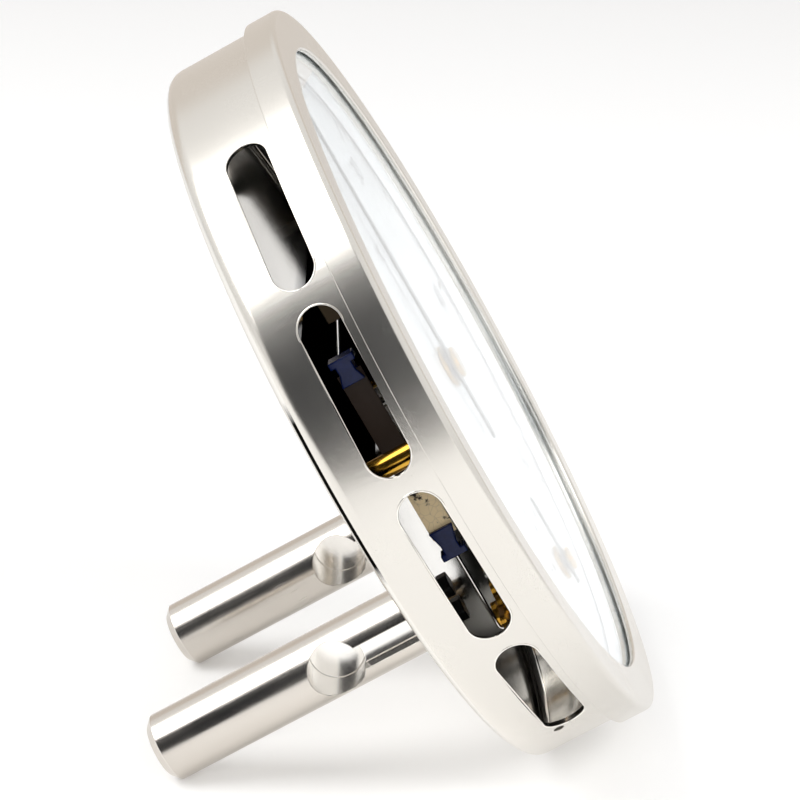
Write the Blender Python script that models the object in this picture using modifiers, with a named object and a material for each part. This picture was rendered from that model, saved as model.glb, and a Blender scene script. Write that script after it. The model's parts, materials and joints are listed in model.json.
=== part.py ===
"""Tilted desk dial thermometer with a small humidity dial.

The case is a drum with its axis along local Z and the dial facing +Z. Local Y points up the dial.
The plane z = 0 is the seam between the case and the bezel. One empty tilts the whole instrument back
and stands it on the ground, so every piece below is written in the drum's own frame.
"""

import math

import bmesh
import bpy
from mathutils import Matrix, Vector

MM = 0.001

# Stance
TILT = math.radians(30.0)

# Gaps between pieces that touch, and around pieces that turn
GAP = 0.3 * MM
BORE_GAP = 0.3 * MM
WELD = 0.002 * MM

# Drum case
CASE_RADIUS = 58.0 * MM
CASE_WALL = 0.8 * MM
CASE_DEPTH = 14.4 * MM
CASE_FILLET = 2.4 * MM
CASE_SPIGOT = 2.0 * MM

# Vent slots, four on each side
SLOT_WIDTH = 6.46 * MM
SLOT_LENGTH = 25.3 * MM
SLOT_SETBACK = 4.56 * MM
SLOT_FIRST = math.radians(46.4)
SLOT_PITCH = math.radians(28.0)
SLOTS_PER_SIDE = 4
RIM_HOLE_RADIUS = 0.8 * MM
RIM_HOLE_ANGLE = math.radians(231.0)
RIM_HOLE_SETBACK = 6.6 * MM

# Bezel
BEZEL_STEP = 1.1 * MM
BEZEL_HEIGHT = 4.9 * MM
BEZEL_ROUND = 0.9 * MM
BEZEL_LIP = 0.8 * MM
BEZEL_WIDTH = 6.9 * MM
BEZEL_CHAMFER = 0.4 * MM

# Glass, seal, spacer ring and dial
GLASS_OVERLAP = 2.8 * MM
GLASS_THICKNESS = 1.6 * MM
SEAL_WIDTH = 2.4 * MM
SEAL_THICKNESS = 0.6 * MM
SPACER_WIDTH = 5.9 * MM
SPACER_SLOPE = 1.4 * MM
DIAL_THICKNESS = 0.8 * MM

# Pillars between the dial and the back
PILLAR_RADIUS = 1.6 * MM
PILLAR_INSET = 4.2 * MM
PILLAR_ANGLES = {
    "left": math.radians(173.0),
    "right": math.radians(7.0),
    "top": math.radians(90.0),
}
PILLAR_TENON_RADIUS = 1.0 * MM
DIAL_SCREW_RADIUS = 0.7 * MM
DIAL_SCREW_GRIP = 4.0 * MM
DIAL_HEAD_RADIUS = 1.5 * MM
DIAL_HEAD_DEPTH = 0.5 * MM
SCREW_TIP_ROOM = 0.6 * MM
DRIVE_SLOT_WIDTH = 0.5 * MM
DRIVE_SLOT_DEPTH = 0.3 * MM

# Temperature movement on the dial axis
TEMP_ARBOR_RADIUS = 0.8 * MM
TEMP_BUSH_RADIUS = 2.4 * MM
TEMP_FLANGE_RADIUS = 3.4 * MM
BUSH_FLANGE = 0.4 * MM
BUSH_TAIL = 1.0 * MM
TEMP_COLLET_RADIUS = 2.9 * MM
COIL_HEIGHT = 4.0 * MM
COIL_SETBACK = 6.0 * MM
COIL_PITCH = 1.4 * MM
COIL_TURNS = 5.0
COIL_BEARING = math.radians(0.0)
COIL_THICKNESS = 0.5 * MM
COLLET_OVERHANG = 0.2 * MM
ANCHOR_WIRE_RADIUS = 0.6 * MM
ADJUSTER_HEAD_RADIUS = 4.5 * MM
ADJUSTER_HEAD_HEIGHT = 1.2 * MM
ADJUSTER_NECK_RADIUS = 2.7 * MM
ADJUSTER_FLANGE = 1.2 * MM
ADJUSTER_PIVOT_DEPTH = 1.5 * MM

# Hands
HAND_THICKNESS = 0.4 * MM
NUT_HEIGHT = 0.6 * MM
NUT_EASE = 0.2 * MM
HAND_ROOM = 0.4 * MM
TEMP_HAND_LENGTH = 45.0 * MM
TEMP_HAND_TAIL = 13.0 * MM
TEMP_HAND_BASE = 2.2 * MM
TEMP_HAND_TIP = 0.7 * MM
TEMP_HAND_HUB = 3.0 * MM
TEMP_NUT_RADIUS = 2.5 * MM
HUMID_HAND_LENGTH = 11.5 * MM
HUMID_HAND_TAIL = 4.0 * MM
HUMID_HAND_BASE = 1.4 * MM
HUMID_HAND_TIP = 0.5 * MM
HUMID_HAND_HUB = 2.2 * MM
HUMID_NUT_RADIUS = 1.9 * MM

# Humidity movement below the dial axis
HUMID_DROP = 36.0 * MM
HUMID_ARBOR_RADIUS = 0.7 * MM
HUMID_BUSH_RADIUS = 1.9 * MM
HUMID_FLANGE_RADIUS = 2.8 * MM
PINION_RADIUS = 2.0 * MM
PINION_HEIGHT = 1.6 * MM
LEVER_SETBACK = 4.0 * MM
LEVER_THICKNESS = 0.8 * MM
LEVER_DROP = 24.0 * MM
LEVER_ARM = 6.0 * MM
LEVER_ARM_WIDTH = 2.0 * MM
LEVER_HUB_RADIUS = 2.4 * MM
LEVER_EYE_RADIUS = 1.6 * MM
SECTOR_DEPTH = 4.0 * MM
SECTOR_HALF_ANGLE = math.radians(9.0)
LEVER_POST_RADIUS = 1.5 * MM
LEVER_PIN_RADIUS = 0.8 * MM
COLLAR_RADIUS = 1.8 * MM
COLLAR_HEIGHT = 0.8 * MM
HAIRSPRING_SETBACK = 7.0 * MM
HAIRSPRING_HEIGHT = 0.8 * MM
HAIRSPRING_PITCH = 1.0 * MM
HAIRSPRING_TURNS = 3.5
HAIRSPRING_BEARING = math.radians(-90.0)
HAIRSPRING_THICKNESS = 0.3 * MM
HAIRSPRING_COLLET = 1.6 * MM
STUD_RADIUS = 0.8 * MM
COCK_SETBACK = 9.8 * MM
COCK_THICKNESS = 0.8 * MM
COCK_REACH = 11.0 * MM
COCK_HALF_WIDTH = 2.4 * MM
COCK_POST_RADIUS = 1.6 * MM
COCK_SCREW_RADIUS = 0.7 * MM
COCK_SCREW_GRIP = 3.0 * MM
COCK_HEAD_RADIUS = 1.8 * MM
COCK_HEAD_HEIGHT = 1.0 * MM

# Humidity strip, its clips and its wires
STRIP_INSET = 11.2 * MM
STRIP_SETBACK = 5.1 * MM
STRIP_WIDTH = 3.6 * MM
STRIP_THICKNESS = 0.4 * MM
STRIP_TOP = 18.6 * MM
STRIP_BOTTOM = -8.2 * MM
CLIP_THICKNESS = 2.6 * MM
CLIP_GRIP = 1.5 * MM
CLIP_END = 2.2 * MM
CLIP_LIP_WIDTH = 3.8 * MM
CLIP_LIP_HEIGHT = 1.0 * MM
CLIP_WAIST_WIDTH = 2.4 * MM
CLIP_TRAVEL_ROOM = 0.9 * MM
HANGER_WIRE_RADIUS = 0.25 * MM
HANGER_RISE = 4.6 * MM
HANGER_BLOCK_WIDTH = 3.2 * MM
HANGER_BLOCK_HEIGHT = 3.4 * MM
HANGER_BLOCK_DEPTH = 2.4 * MM
HANGER_SCREW_RADIUS = 0.6 * MM
HANGER_SCREW_GRIP = 1.4 * MM
HANGER_HEAD_RADIUS = 1.2 * MM
HANGER_HEAD_HEIGHT = 0.8 * MM
LINK_RADIUS = 0.3 * MM
LINK_EYE_GAP = 0.4 * MM

# Legs
LEG_RADIUS = 5.35 * MM
LEG_SPREAD = 22.5 * MM
LEG_DROP = 24.9 * MM
LEG_CHAMFER = 1.2 * MM
KEYHOLE_RADIUS = 4.2 * MM
KEYHOLE_SETBACK = 31.9 * MM
KEYHOLE_WALL = 0.45 * MM
GROOVE_WIDTH = 3.7 * MM
GROOVE_DEPTH = 3.25 * MM
LEG_SCREW_SPACING = 4.2 * MM
LEG_SCREW_RADIUS = 1.1 * MM
LEG_SCREW_GRIP = 7.0 * MM
LEG_HEX_FLATS = 3.4 * MM
LEG_HEX_HEIGHT = 1.7 * MM

# Facets
DRUM_STEPS = 72
ROD_STEPS = 32
SMALL_STEPS = 16
ARC_STEP = math.radians(18.0)
SECTOR_STEPS = 10
SPIRAL_STEPS = 24
SHARP_ANGLE = math.radians(35.0)

# Places that follow from the sizes, along the drum axis
CASE_BORE = CASE_RADIUS - CASE_WALL
BACK_OUTER = -CASE_DEPTH
BACK_INNER = BACK_OUTER + CASE_WALL
BEZEL_RADIUS = CASE_RADIUS + BEZEL_STEP
BEZEL_OPENING = BEZEL_RADIUS - BEZEL_WIDTH
LIP_BACK = BEZEL_HEIGHT - BEZEL_LIP
GLASS_RADIUS = BEZEL_OPENING + GLASS_OVERLAP
GLASS_FRONT = LIP_BACK - GAP
GLASS_BACK = GLASS_FRONT - GLASS_THICKNESS
SEAL_FRONT = GLASS_BACK - GAP
SEAL_BACK = SEAL_FRONT - SEAL_THICKNESS
SPACER_FRONT = SEAL_BACK - GAP
DIAL_FRONT = GLASS_BACK - HAND_ROOM - NUT_HEIGHT - HAND_THICKNESS - BUSH_FLANGE - 3 * GAP
SPACER_BACK = DIAL_FRONT + GAP
DIAL_BACK = DIAL_FRONT - DIAL_THICKNESS
DIAL_RADIUS = CASE_BORE - GAP
PILLAR_CIRCLE = CASE_BORE - PILLAR_INSET
POST_FRONT = DIAL_BACK - GAP
HAND_BACK = DIAL_FRONT + GAP + BUSH_FLANGE + GAP
HAND_FRONT = HAND_BACK + HAND_THICKNESS
NUT_BACK = HAND_FRONT + GAP
NUT_FRONT = NUT_BACK + NUT_HEIGHT
STRIP_X = STRIP_INSET - CASE_BORE
LEVER_PIVOT = (STRIP_X + LEVER_ARM, -LEVER_DROP)

# Finishes: colour, roughness, metallic
SATIN_STEEL = ((0.70, 0.68, 0.65), 0.32, 1.0)
BRIGHT_STEEL = ((0.80, 0.79, 0.77), 0.15, 1.0)
BRASS = ((0.72, 0.50, 0.17), 0.25, 1.0)
BLACK_STEEL = ((0.02, 0.02, 0.02), 0.45, 0.6)
SPRING_METAL = ((0.45, 0.40, 0.33), 0.35, 1.0)
CLEAR_GLASS = ((0.92, 0.95, 0.97), 0.02, 0.0)
SOFT_SEAL = ((0.75, 0.75, 0.74), 0.5, 0.0)
DIAL_WHITE = ((0.86, 0.86, 0.88), 0.5, 0.0)
HAND_BLACK = ((0.03, 0.03, 0.035), 0.35, 0.0)
NAVY_PLASTIC = ((0.012, 0.02, 0.07), 0.35, 0.0)
STRIP_BEIGE = ((0.62, 0.50, 0.34), 0.75, 0.0)

for old in list(bpy.data.objects):
    bpy.data.objects.remove(old, do_unlink=True)

parts = bpy.data.collections.new("desk_dial_thermometer")
cutters = bpy.data.collections.new("cutters")
for group in (parts, cutters):
    bpy.context.scene.collection.children.link(group)


def empty(name, place=(0.0, 0.0, 0.0), parent=None):
    """An axis or frame that pieces are parented to."""
    frame = bpy.data.objects.new(name, None)
    frame.location = place
    frame.parent = parent
    parts.objects.link(frame)
    return frame


def finished(obj, finish, parent):
    """Gives a piece its place in the tree and its own material."""
    colour, roughness, metallic = finish
    look = bpy.data.materials.new(obj.name)
    look.use_nodes = True
    shader = look.node_tree.nodes["Principled BSDF"]
    shader.inputs["Base Color"].default_value = (*colour, 1.0)
    shader.inputs["Roughness"].default_value = roughness
    shader.inputs["Metallic"].default_value = metallic
    obj.data.materials.append(look)
    obj.parent = parent
    parts.objects.link(obj)
    return obj


def on_circle(radius, angle):
    return (radius * math.cos(angle), radius * math.sin(angle))


def arc(centre, radius, start, end, steps=None):
    """Points of a circular arc between two angles, both ends included."""
    if steps is None:
        steps = max(2, round(abs(end - start) / ARC_STEP))
    angles = [start + (end - start) * step / steps for step in range(steps + 1)]
    return [(centre[0] + radius * math.cos(a), centre[1] + radius * math.sin(a)) for a in angles]


def circle(centre, radius, steps=SMALL_STEPS):
    return arc(centre, radius, 0.0, math.tau, steps)[:-1]


def turned_object(name, profile, steps, closed=False):
    """A solid turned about local Z. The profile of (radius, height) runs down its outer side."""
    count = len(profile)
    edges = [(i, i + 1) for i in range(count - 1)]
    if closed:
        edges.append((count - 1, 0))
    mesh = bpy.data.meshes.new(name)
    mesh.from_pydata([(radius, 0.0, height) for radius, height in profile], edges, [])
    obj = bpy.data.objects.new(name, mesh)
    screw = obj.modifiers.new("turn", "SCREW")
    screw.axis = "Z"
    screw.steps = steps
    screw.render_steps = steps
    screw.use_merge_vertices = True
    screw.merge_threshold = WELD
    return obj


def turned(name, profile, finish, parent, steps=SMALL_STEPS, closed=False):
    """A piece turned on a lathe."""
    return finished(turned_object(name, profile, steps, closed), finish, parent)


def flat_mesh(name, outlines, thickness, matrix=None):
    """A plate centred on local Z = 0: the first outline is its edge and the others are holes."""
    curve = bpy.data.curves.new(name, "CURVE")
    curve.dimensions = "2D"
    curve.fill_mode = "BOTH"
    curve.extrude = thickness / 2
    for outline in outlines:
        spline = curve.splines.new("POLY")
        spline.points.add(len(outline) - 1)
        for point, (x, y) in zip(spline.points, outline):
            point.co = (x, y, 0.0, 1.0)
        spline.use_cyclic_u = True
    guide = bpy.data.objects.new(name, curve)
    cutters.objects.link(guide)
    bpy.context.view_layer.update()
    graph = bpy.context.evaluated_depsgraph_get()
    mesh = bpy.data.meshes.new_from_object(guide.evaluated_get(graph))
    bpy.data.objects.remove(guide, do_unlink=True)
    shape = bmesh.new()
    shape.from_mesh(mesh)
    bmesh.ops.remove_doubles(shape, verts=shape.verts, dist=WELD)
    bmesh.ops.recalc_face_normals(shape, faces=shape.faces)
    if matrix is not None:
        shape.transform(matrix)
    shape.to_mesh(mesh)
    shape.free()
    return mesh


def plate(name, outlines, back, front, finish, parent):
    """A flat piece between two heights."""
    lift = Matrix.Translation((0.0, 0.0, (back + front) / 2))
    mesh = flat_mesh(name, outlines, front - back, lift)
    return finished(bpy.data.objects.new(name, mesh), finish, parent)


def wire(name, points, radius, finish, parent):
    """A round wire through the points, with closed ends."""
    curve = bpy.data.curves.new(name, "CURVE")
    curve.dimensions = "3D"
    curve.bevel_depth = radius
    curve.bevel_resolution = 2
    curve.use_fill_caps = True
    spline = curve.splines.new("POLY")
    spline.points.add(len(points) - 1)
    for point, place in zip(spline.points, points):
        point.co = (*place, 1.0)
    return finished(bpy.data.objects.new(name, curve), finish, parent)


def spiral(name, inner, pitch, turns, bearing, thickness, middle, height, finish, parent):
    """A flat spiral band whose outer end lies at a bearing, given its thickness by Solidify."""
    steps = round(SPIRAL_STEPS * turns)
    path = []
    for step in range(steps + 1):
        turned_by = math.tau * turns * step / steps
        radius = inner + pitch * turned_by / math.tau
        path.append(on_circle(radius, bearing + turned_by - math.tau * turns))
    shape = bmesh.new()
    verts = [shape.verts.new((x, y, middle - height / 2)) for x, y in path]
    edges = [shape.edges.new(pair) for pair in zip(verts, verts[1:])]
    made = bmesh.ops.extrude_edge_only(shape, edges=edges)["geom"]
    raised = [item for item in made if isinstance(item, bmesh.types.BMVert)]
    bmesh.ops.translate(shape, verts=raised, vec=(0.0, 0.0, height))
    mesh = bpy.data.meshes.new(name)
    shape.to_mesh(mesh)
    shape.free()
    obj = bpy.data.objects.new(name, mesh)
    skin = obj.modifiers.new("thickness", "SOLIDIFY")
    skin.thickness = thickness
    skin.offset = 0.0
    skin.use_even_offset = True
    nearest = min(
        math.dist(one, other)
        for place, one in enumerate(path)
        for other in path[place + SPIRAL_STEPS // 2 :]
    )
    print(f"{name}: least gap between turns {(nearest - thickness) / MM:.2f} mm")
    return finished(obj, finish, parent)


def as_cutter(tool, parent):
    tool.hide_render = True
    tool.display_type = "WIRE"
    tool.parent = parent
    cutters.objects.link(tool)
    return tool


def cutter(name, mesh, parent):
    return as_cutter(bpy.data.objects.new(name, mesh), parent)


def rod_mesh(name, radius, start, end, steps=SMALL_STEPS):
    """A cylinder between two points."""
    start = Vector(start)
    along = Vector(end) - start
    turn = Vector((0.0, 0.0, 1.0)).rotation_difference(along).to_matrix().to_4x4()
    place = Matrix.Translation(start + along / 2) @ turn
    shape = bmesh.new()
    bmesh.ops.create_cone(
        shape,
        cap_ends=True,
        segments=steps,
        radius1=radius,
        radius2=radius,
        depth=along.length,
        matrix=place,
    )
    mesh = bpy.data.meshes.new(name)
    shape.to_mesh(mesh)
    shape.free()
    return mesh


def box_mesh(name, low, high):
    """A box between two corners."""
    low, high = Vector(low), Vector(high)
    size = high - low
    shape = bmesh.new()
    place = Matrix.Translation((low + high) / 2) @ Matrix.Diagonal((*size, 1.0))
    bmesh.ops.create_cube(shape, size=1.0, matrix=place)
    mesh = bpy.data.meshes.new(name)
    shape.to_mesh(mesh)
    shape.free()
    return mesh


def boolean(obj, tool, operation="DIFFERENCE"):
    change = obj.modifiers.new(tool.name, "BOOLEAN")
    change.operation = operation
    change.object = tool
    change.solver = "EXACT"


# Frames: the tilted instrument and the axes of its moving pieces
instrument = empty("instrument")
instrument.rotation_euler = (math.pi / 2 - TILT, 0.0, 0.0)
temperature_axis = empty("temperature_axis", parent=instrument)
adjuster_axis = empty("adjuster_axis", parent=instrument)
humidity_axis = empty("humidity_axis", (0.0, -HUMID_DROP, 0.0), instrument)
lever_axis = empty("lever_axis", (*LEVER_PIVOT, 0.0), instrument)
strip_line = empty("strip_line", (STRIP_X, 0.0, -STRIP_SETBACK), instrument)

# Drum case: a deep-drawn steel cup with a rounded rear edge
inner_fillet = CASE_FILLET - CASE_WALL
case_shell = turned(
    "case_shell",
    [(0.0, BACK_INNER)]
    + arc((CASE_BORE - inner_fillet, BACK_INNER + inner_fillet), inner_fillet, -math.pi / 2, 0.0)
    + [(CASE_BORE, CASE_SPIGOT), (CASE_RADIUS, CASE_SPIGOT)]
    + arc((CASE_RADIUS - CASE_FILLET, BACK_OUTER + CASE_FILLET), CASE_FILLET, 0.0, -math.pi / 2)
    + [(0.0, BACK_OUTER)],
    SATIN_STEEL,
    instrument,
    DRUM_STEPS,
)

# Vent slots: round-ended cuts through the wall, mirrored left and right
slot_straight = (SLOT_LENGTH - SLOT_WIDTH) / 2
slot_outline = arc((slot_straight, 0.0), SLOT_WIDTH / 2, -math.pi / 2, math.pi / 2)
slot_outline += arc((-slot_straight, 0.0), SLOT_WIDTH / 2, math.pi / 2, 1.5 * math.pi)
slot_cut_depth = 2 * (CASE_RADIUS - math.sqrt(CASE_BORE**2 - (SLOT_LENGTH / 2) ** 2)) + 2 * CASE_WALL
for number in range(SLOTS_PER_SIDE):
    rise = SLOT_FIRST - number * SLOT_PITCH
    for side, angle in (("left", math.pi - rise), ("right", rise)):
        across = Vector((-math.sin(angle), math.cos(angle), 0.0))
        outward = Vector((math.cos(angle), math.sin(angle), 0.0))
        turn = Matrix((across, (0.0, 0.0, 1.0), outward)).transposed().to_4x4()
        place = Matrix.Translation(outward * CASE_RADIUS + Vector((0.0, 0.0, -SLOT_SETBACK)))
        slot = flat_mesh(f"slot_{side}_{number}", [slot_outline], slot_cut_depth, place @ turn)
        boolean(case_shell, cutter(f"slot_{side}_{number}", slot, instrument))

# Small hole under the rim
hole_x, hole_y = on_circle(1.0, RIM_HOLE_ANGLE)
rim_hole = rod_mesh(
    "rim_hole",
    RIM_HOLE_RADIUS,
    (hole_x * (CASE_BORE - CASE_WALL), hole_y * (CASE_BORE - CASE_WALL), -RIM_HOLE_SETBACK),
    (hole_x * (CASE_RADIUS + CASE_WALL), hole_y * (CASE_RADIUS + CASE_WALL), -RIM_HOLE_SETBACK),
)
boolean(case_shell, cutter("rim_hole", rim_hole, instrument))


def drill_back(name, x, y, radius):
    """A round hole through the back of the case."""
    mesh = rod_mesh(name, radius, (x, y, BACK_OUTER - CASE_WALL), (x, y, BACK_INNER + CASE_WALL))
    boolean(case_shell, cutter(name, mesh, instrument))


# Bezel: a turned ring over the front edge of the case, with a lip over the glass
bezel_seat = CASE_SPIGOT + GAP
bezel_bore = GLASS_RADIUS + GAP
turned(
    "bezel_ring",
    [(BEZEL_OPENING + BEZEL_CHAMFER, BEZEL_HEIGHT)]
    + arc((BEZEL_RADIUS - BEZEL_ROUND, BEZEL_HEIGHT - BEZEL_ROUND), BEZEL_ROUND, math.pi / 2, 0.0)
    + [
        (BEZEL_RADIUS, 0.0),
        (CASE_RADIUS + GAP, 0.0),
        (CASE_RADIUS + GAP, bezel_seat),
        (bezel_bore, bezel_seat),
        (bezel_bore, LIP_BACK),
        (BEZEL_OPENING, LIP_BACK),
        (BEZEL_OPENING, BEZEL_HEIGHT - BEZEL_CHAMFER),
    ],
    SATIN_STEEL,
    instrument,
    DRUM_STEPS,
    closed=True,
)

# Glass under the lip, and the soft ring behind it
turned(
    "crystal",
    [(0.0, GLASS_FRONT), (GLASS_RADIUS, GLASS_FRONT), (GLASS_RADIUS, GLASS_BACK), (0.0, GLASS_BACK)],
    CLEAR_GLASS,
    instrument,
    DRUM_STEPS,
)
turned(
    "crystal_seal",
    [
        (GLASS_RADIUS, SEAL_FRONT),
        (GLASS_RADIUS, SEAL_BACK),
        (GLASS_RADIUS - SEAL_WIDTH, SEAL_BACK),
        (GLASS_RADIUS - SEAL_WIDTH, SEAL_FRONT),
    ],
    SOFT_SEAL,
    instrument,
    DRUM_STEPS,
    closed=True,
)

# Spacer ring that keeps the glass off the dial, sloped towards the scale
turned(
    "spacer_ring",
    [
        (DIAL_RADIUS, SPACER_FRONT),
        (DIAL_RADIUS, SPACER_BACK),
        (DIAL_RADIUS - SPACER_WIDTH, SPACER_BACK),
        (DIAL_RADIUS - SPACER_WIDTH + SPACER_SLOPE, SPACER_FRONT),
    ],
    DIAL_WHITE,
    instrument,
    DRUM_STEPS,
    closed=True,
)

# Dial plate with a hole for each bush
dial_plate = plate(
    "dial_plate",
    [
        circle((0.0, 0.0), DIAL_RADIUS, DRUM_STEPS),
        circle((0.0, 0.0), TEMP_BUSH_RADIUS + GAP),
        circle((0.0, -HUMID_DROP), HUMID_BUSH_RADIUS + GAP),
    ],
    DIAL_BACK,
    DIAL_FRONT,
    DIAL_WHITE,
    instrument,
)


def drive_slot(name, radius, height, parent):
    """A cutter for a screwdriver slot across a head whose outer face is at this height."""
    reach = 2 * radius
    low = (-reach, -DRIVE_SLOT_WIDTH / 2, height - DRIVE_SLOT_DEPTH)
    high = (reach, DRIVE_SLOT_WIDTH / 2, height + DRIVE_SLOT_DEPTH)
    return cutter(name, box_mesh(name, low, high), parent)


# Brass pillars riveted flush in the back of the case, each with a flush screw through the dial
dial_screw_bore = DIAL_SCREW_RADIUS + BORE_GAP
pillar_back = BACK_INNER + GAP
pillar_tap = POST_FRONT - DIAL_SCREW_GRIP - SCREW_TIP_ROOM
head_root = DIAL_FRONT - DIAL_HEAD_DEPTH
head_flare = DIAL_HEAD_RADIUS - DIAL_SCREW_RADIUS
for name, angle in PILLAR_ANGLES.items():
    x, y = on_circle(PILLAR_CIRCLE, angle)
    place = empty(f"pillar_{name}_place", (x, y, 0.0), instrument)
    turned(
        f"pillar_{name}",
        [
            (0.0, pillar_tap),
            (dial_screw_bore, pillar_tap),
            (dial_screw_bore, POST_FRONT),
            (PILLAR_RADIUS, POST_FRONT),
            (PILLAR_RADIUS, pillar_back),
            (PILLAR_TENON_RADIUS, pillar_back),
            (PILLAR_TENON_RADIUS, BACK_OUTER),
            (0.0, BACK_OUTER),
        ],
        BRASS,
        place,
    )
    drill_back(f"pillar_hole_{name}", x, y, PILLAR_TENON_RADIUS + GAP)
    screw = turned(
        f"dial_screw_{name}",
        [
            (0.0, DIAL_FRONT),
            (DIAL_HEAD_RADIUS, DIAL_FRONT),
            (DIAL_SCREW_RADIUS, head_root),
            (DIAL_SCREW_RADIUS, POST_FRONT - DIAL_SCREW_GRIP),
            (0.0, POST_FRONT - DIAL_SCREW_GRIP),
        ],
        BRIGHT_STEEL,
        place,
    )
    boolean(screw, drive_slot(f"dial_screw_slot_{name}", DIAL_HEAD_RADIUS, DIAL_FRONT, place))
    countersink = turned_object(
        f"countersink_{name}",
        [
            (0.0, DIAL_FRONT + DIAL_HEAD_DEPTH),
            (dial_screw_bore + 2 * head_flare, DIAL_FRONT + DIAL_HEAD_DEPTH),
            (dial_screw_bore, head_root),
            (dial_screw_bore, DIAL_BACK - DIAL_THICKNESS),
            (0.0, DIAL_BACK - DIAL_THICKNESS),
        ],
        SMALL_STEPS,
    )
    boolean(dial_plate, as_cutter(countersink, place))


def bush(name, radius, flange_radius, bore, parent):
    """A flanged bush through the dial."""
    front = DIAL_FRONT + GAP + BUSH_FLANGE
    turned(
        name,
        [
            (flange_radius, front),
            (flange_radius, DIAL_FRONT + GAP),
            (radius, DIAL_FRONT + GAP),
            (radius, DIAL_BACK - BUSH_TAIL),
            (bore, DIAL_BACK - BUSH_TAIL),
            (bore, front),
        ],
        BRASS,
        parent,
        closed=True,
    )


def hand(name, length, tail, base, tip, hub, bore, parent):
    """A tapered hand with a round hub, pointing along +Y."""
    side = math.asin(base / 2 / hub)
    outline = [(tip / 2, length), (-tip / 2, length)]
    outline += arc((0.0, 0.0), hub, math.pi / 2 + side, 1.5 * math.pi - side)
    outline += [(-base / 2, -tail), (base / 2, -tail)]
    outline += arc((0.0, 0.0), hub, side - math.pi / 2, math.pi / 2 - side)
    hole = circle((0.0, 0.0), bore)
    plate(name, [outline, hole], HAND_BACK, HAND_FRONT, HAND_BLACK, parent)


def hub_nut(name, radius, bore, parent):
    """A small brass nut that keeps a hand on its arbor."""
    turned(
        name,
        [
            (radius - NUT_EASE, NUT_FRONT),
            (radius, NUT_FRONT - NUT_EASE),
            (radius, NUT_BACK),
            (bore, NUT_BACK),
            (bore, NUT_FRONT),
        ],
        BRASS,
        parent,
        closed=True,
    )


# Temperature pointer: bush in the dial, arbor with the coil's collet, hand and nut
coil_middle = -COIL_SETBACK
collet_front = coil_middle + COIL_HEIGHT / 2 + COLLET_OVERHANG
collet_back = coil_middle - COIL_HEIGHT / 2 - COLLET_OVERHANG
flange_front = BACK_INNER + GAP + ADJUSTER_FLANGE
pivot_floor = flange_front - ADJUSTER_PIVOT_DEPTH
temp_bore = TEMP_ARBOR_RADIUS + BORE_GAP
bush("temp_bush", TEMP_BUSH_RADIUS, TEMP_FLANGE_RADIUS, temp_bore, instrument)
turned(
    "temp_arbor",
    [
        (0.0, NUT_FRONT),
        (TEMP_ARBOR_RADIUS, NUT_FRONT),
        (TEMP_ARBOR_RADIUS, collet_front),
        (TEMP_COLLET_RADIUS, collet_front),
        (TEMP_COLLET_RADIUS, collet_back),
        (TEMP_ARBOR_RADIUS, collet_back),
        (TEMP_ARBOR_RADIUS, pivot_floor + GAP),
        (0.0, pivot_floor + GAP),
    ],
    BRIGHT_STEEL,
    temperature_axis,
)
hand(
    "temp_hand",
    TEMP_HAND_LENGTH,
    TEMP_HAND_TAIL,
    TEMP_HAND_BASE,
    TEMP_HAND_TIP,
    TEMP_HAND_HUB,
    temp_bore,
    temperature_axis,
)
hub_nut("temp_hand_nut", TEMP_NUT_RADIUS, temp_bore, temperature_axis)

# Bimetal coil: its inner end is at the collet and its outer end at the anchor wire
coil_inner = TEMP_COLLET_RADIUS + GAP + COIL_THICKNESS / 2
coil_outer = coil_inner + COIL_PITCH * COIL_TURNS
spiral(
    "bimetal_coil",
    coil_inner,
    COIL_PITCH,
    COIL_TURNS,
    COIL_BEARING,
    COIL_THICKNESS,
    coil_middle,
    COIL_HEIGHT,
    SPRING_METAL,
    instrument,
)

# Zero adjuster: a slotted stud riveted through the back, which turns the coil's anchor wire
drill_back("adjuster_hole", 0.0, 0.0, ADJUSTER_NECK_RADIUS + GAP)
adjuster_seat = BACK_OUTER - GAP
adjuster = turned(
    "zero_adjuster",
    [
        (0.0, pivot_floor),
        (temp_bore, pivot_floor),
        (temp_bore, flange_front),
        (ADJUSTER_HEAD_RADIUS, flange_front),
        (ADJUSTER_HEAD_RADIUS, BACK_INNER + GAP),
        (ADJUSTER_NECK_RADIUS, BACK_INNER + GAP),
        (ADJUSTER_NECK_RADIUS, adjuster_seat),
        (ADJUSTER_HEAD_RADIUS, adjuster_seat),
        (ADJUSTER_HEAD_RADIUS, adjuster_seat - ADJUSTER_HEAD_HEIGHT),
        (0.0, adjuster_seat - ADJUSTER_HEAD_HEIGHT),
    ],
    BRASS,
    adjuster_axis,
    ROD_STEPS,
)
boolean(
    adjuster,
    drive_slot(
        "zero_adjuster_slot",
        ADJUSTER_HEAD_RADIUS,
        adjuster_seat - ADJUSTER_HEAD_HEIGHT,
        adjuster_axis,
    ),
)
anchor_post = coil_outer + COIL_THICKNESS / 2 + GAP + ANCHOR_WIRE_RADIUS
anchor_height = flange_front - ANCHOR_WIRE_RADIUS
wire(
    "coil_anchor",
    [
        (*on_circle(ADJUSTER_HEAD_RADIUS + GAP, COIL_BEARING), anchor_height),
        (*on_circle(anchor_post, COIL_BEARING), anchor_height),
        (*on_circle(anchor_post, COIL_BEARING), collet_front),
    ],
    ANCHOR_WIRE_RADIUS,
    BRASS,
    adjuster_axis,
)

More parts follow.
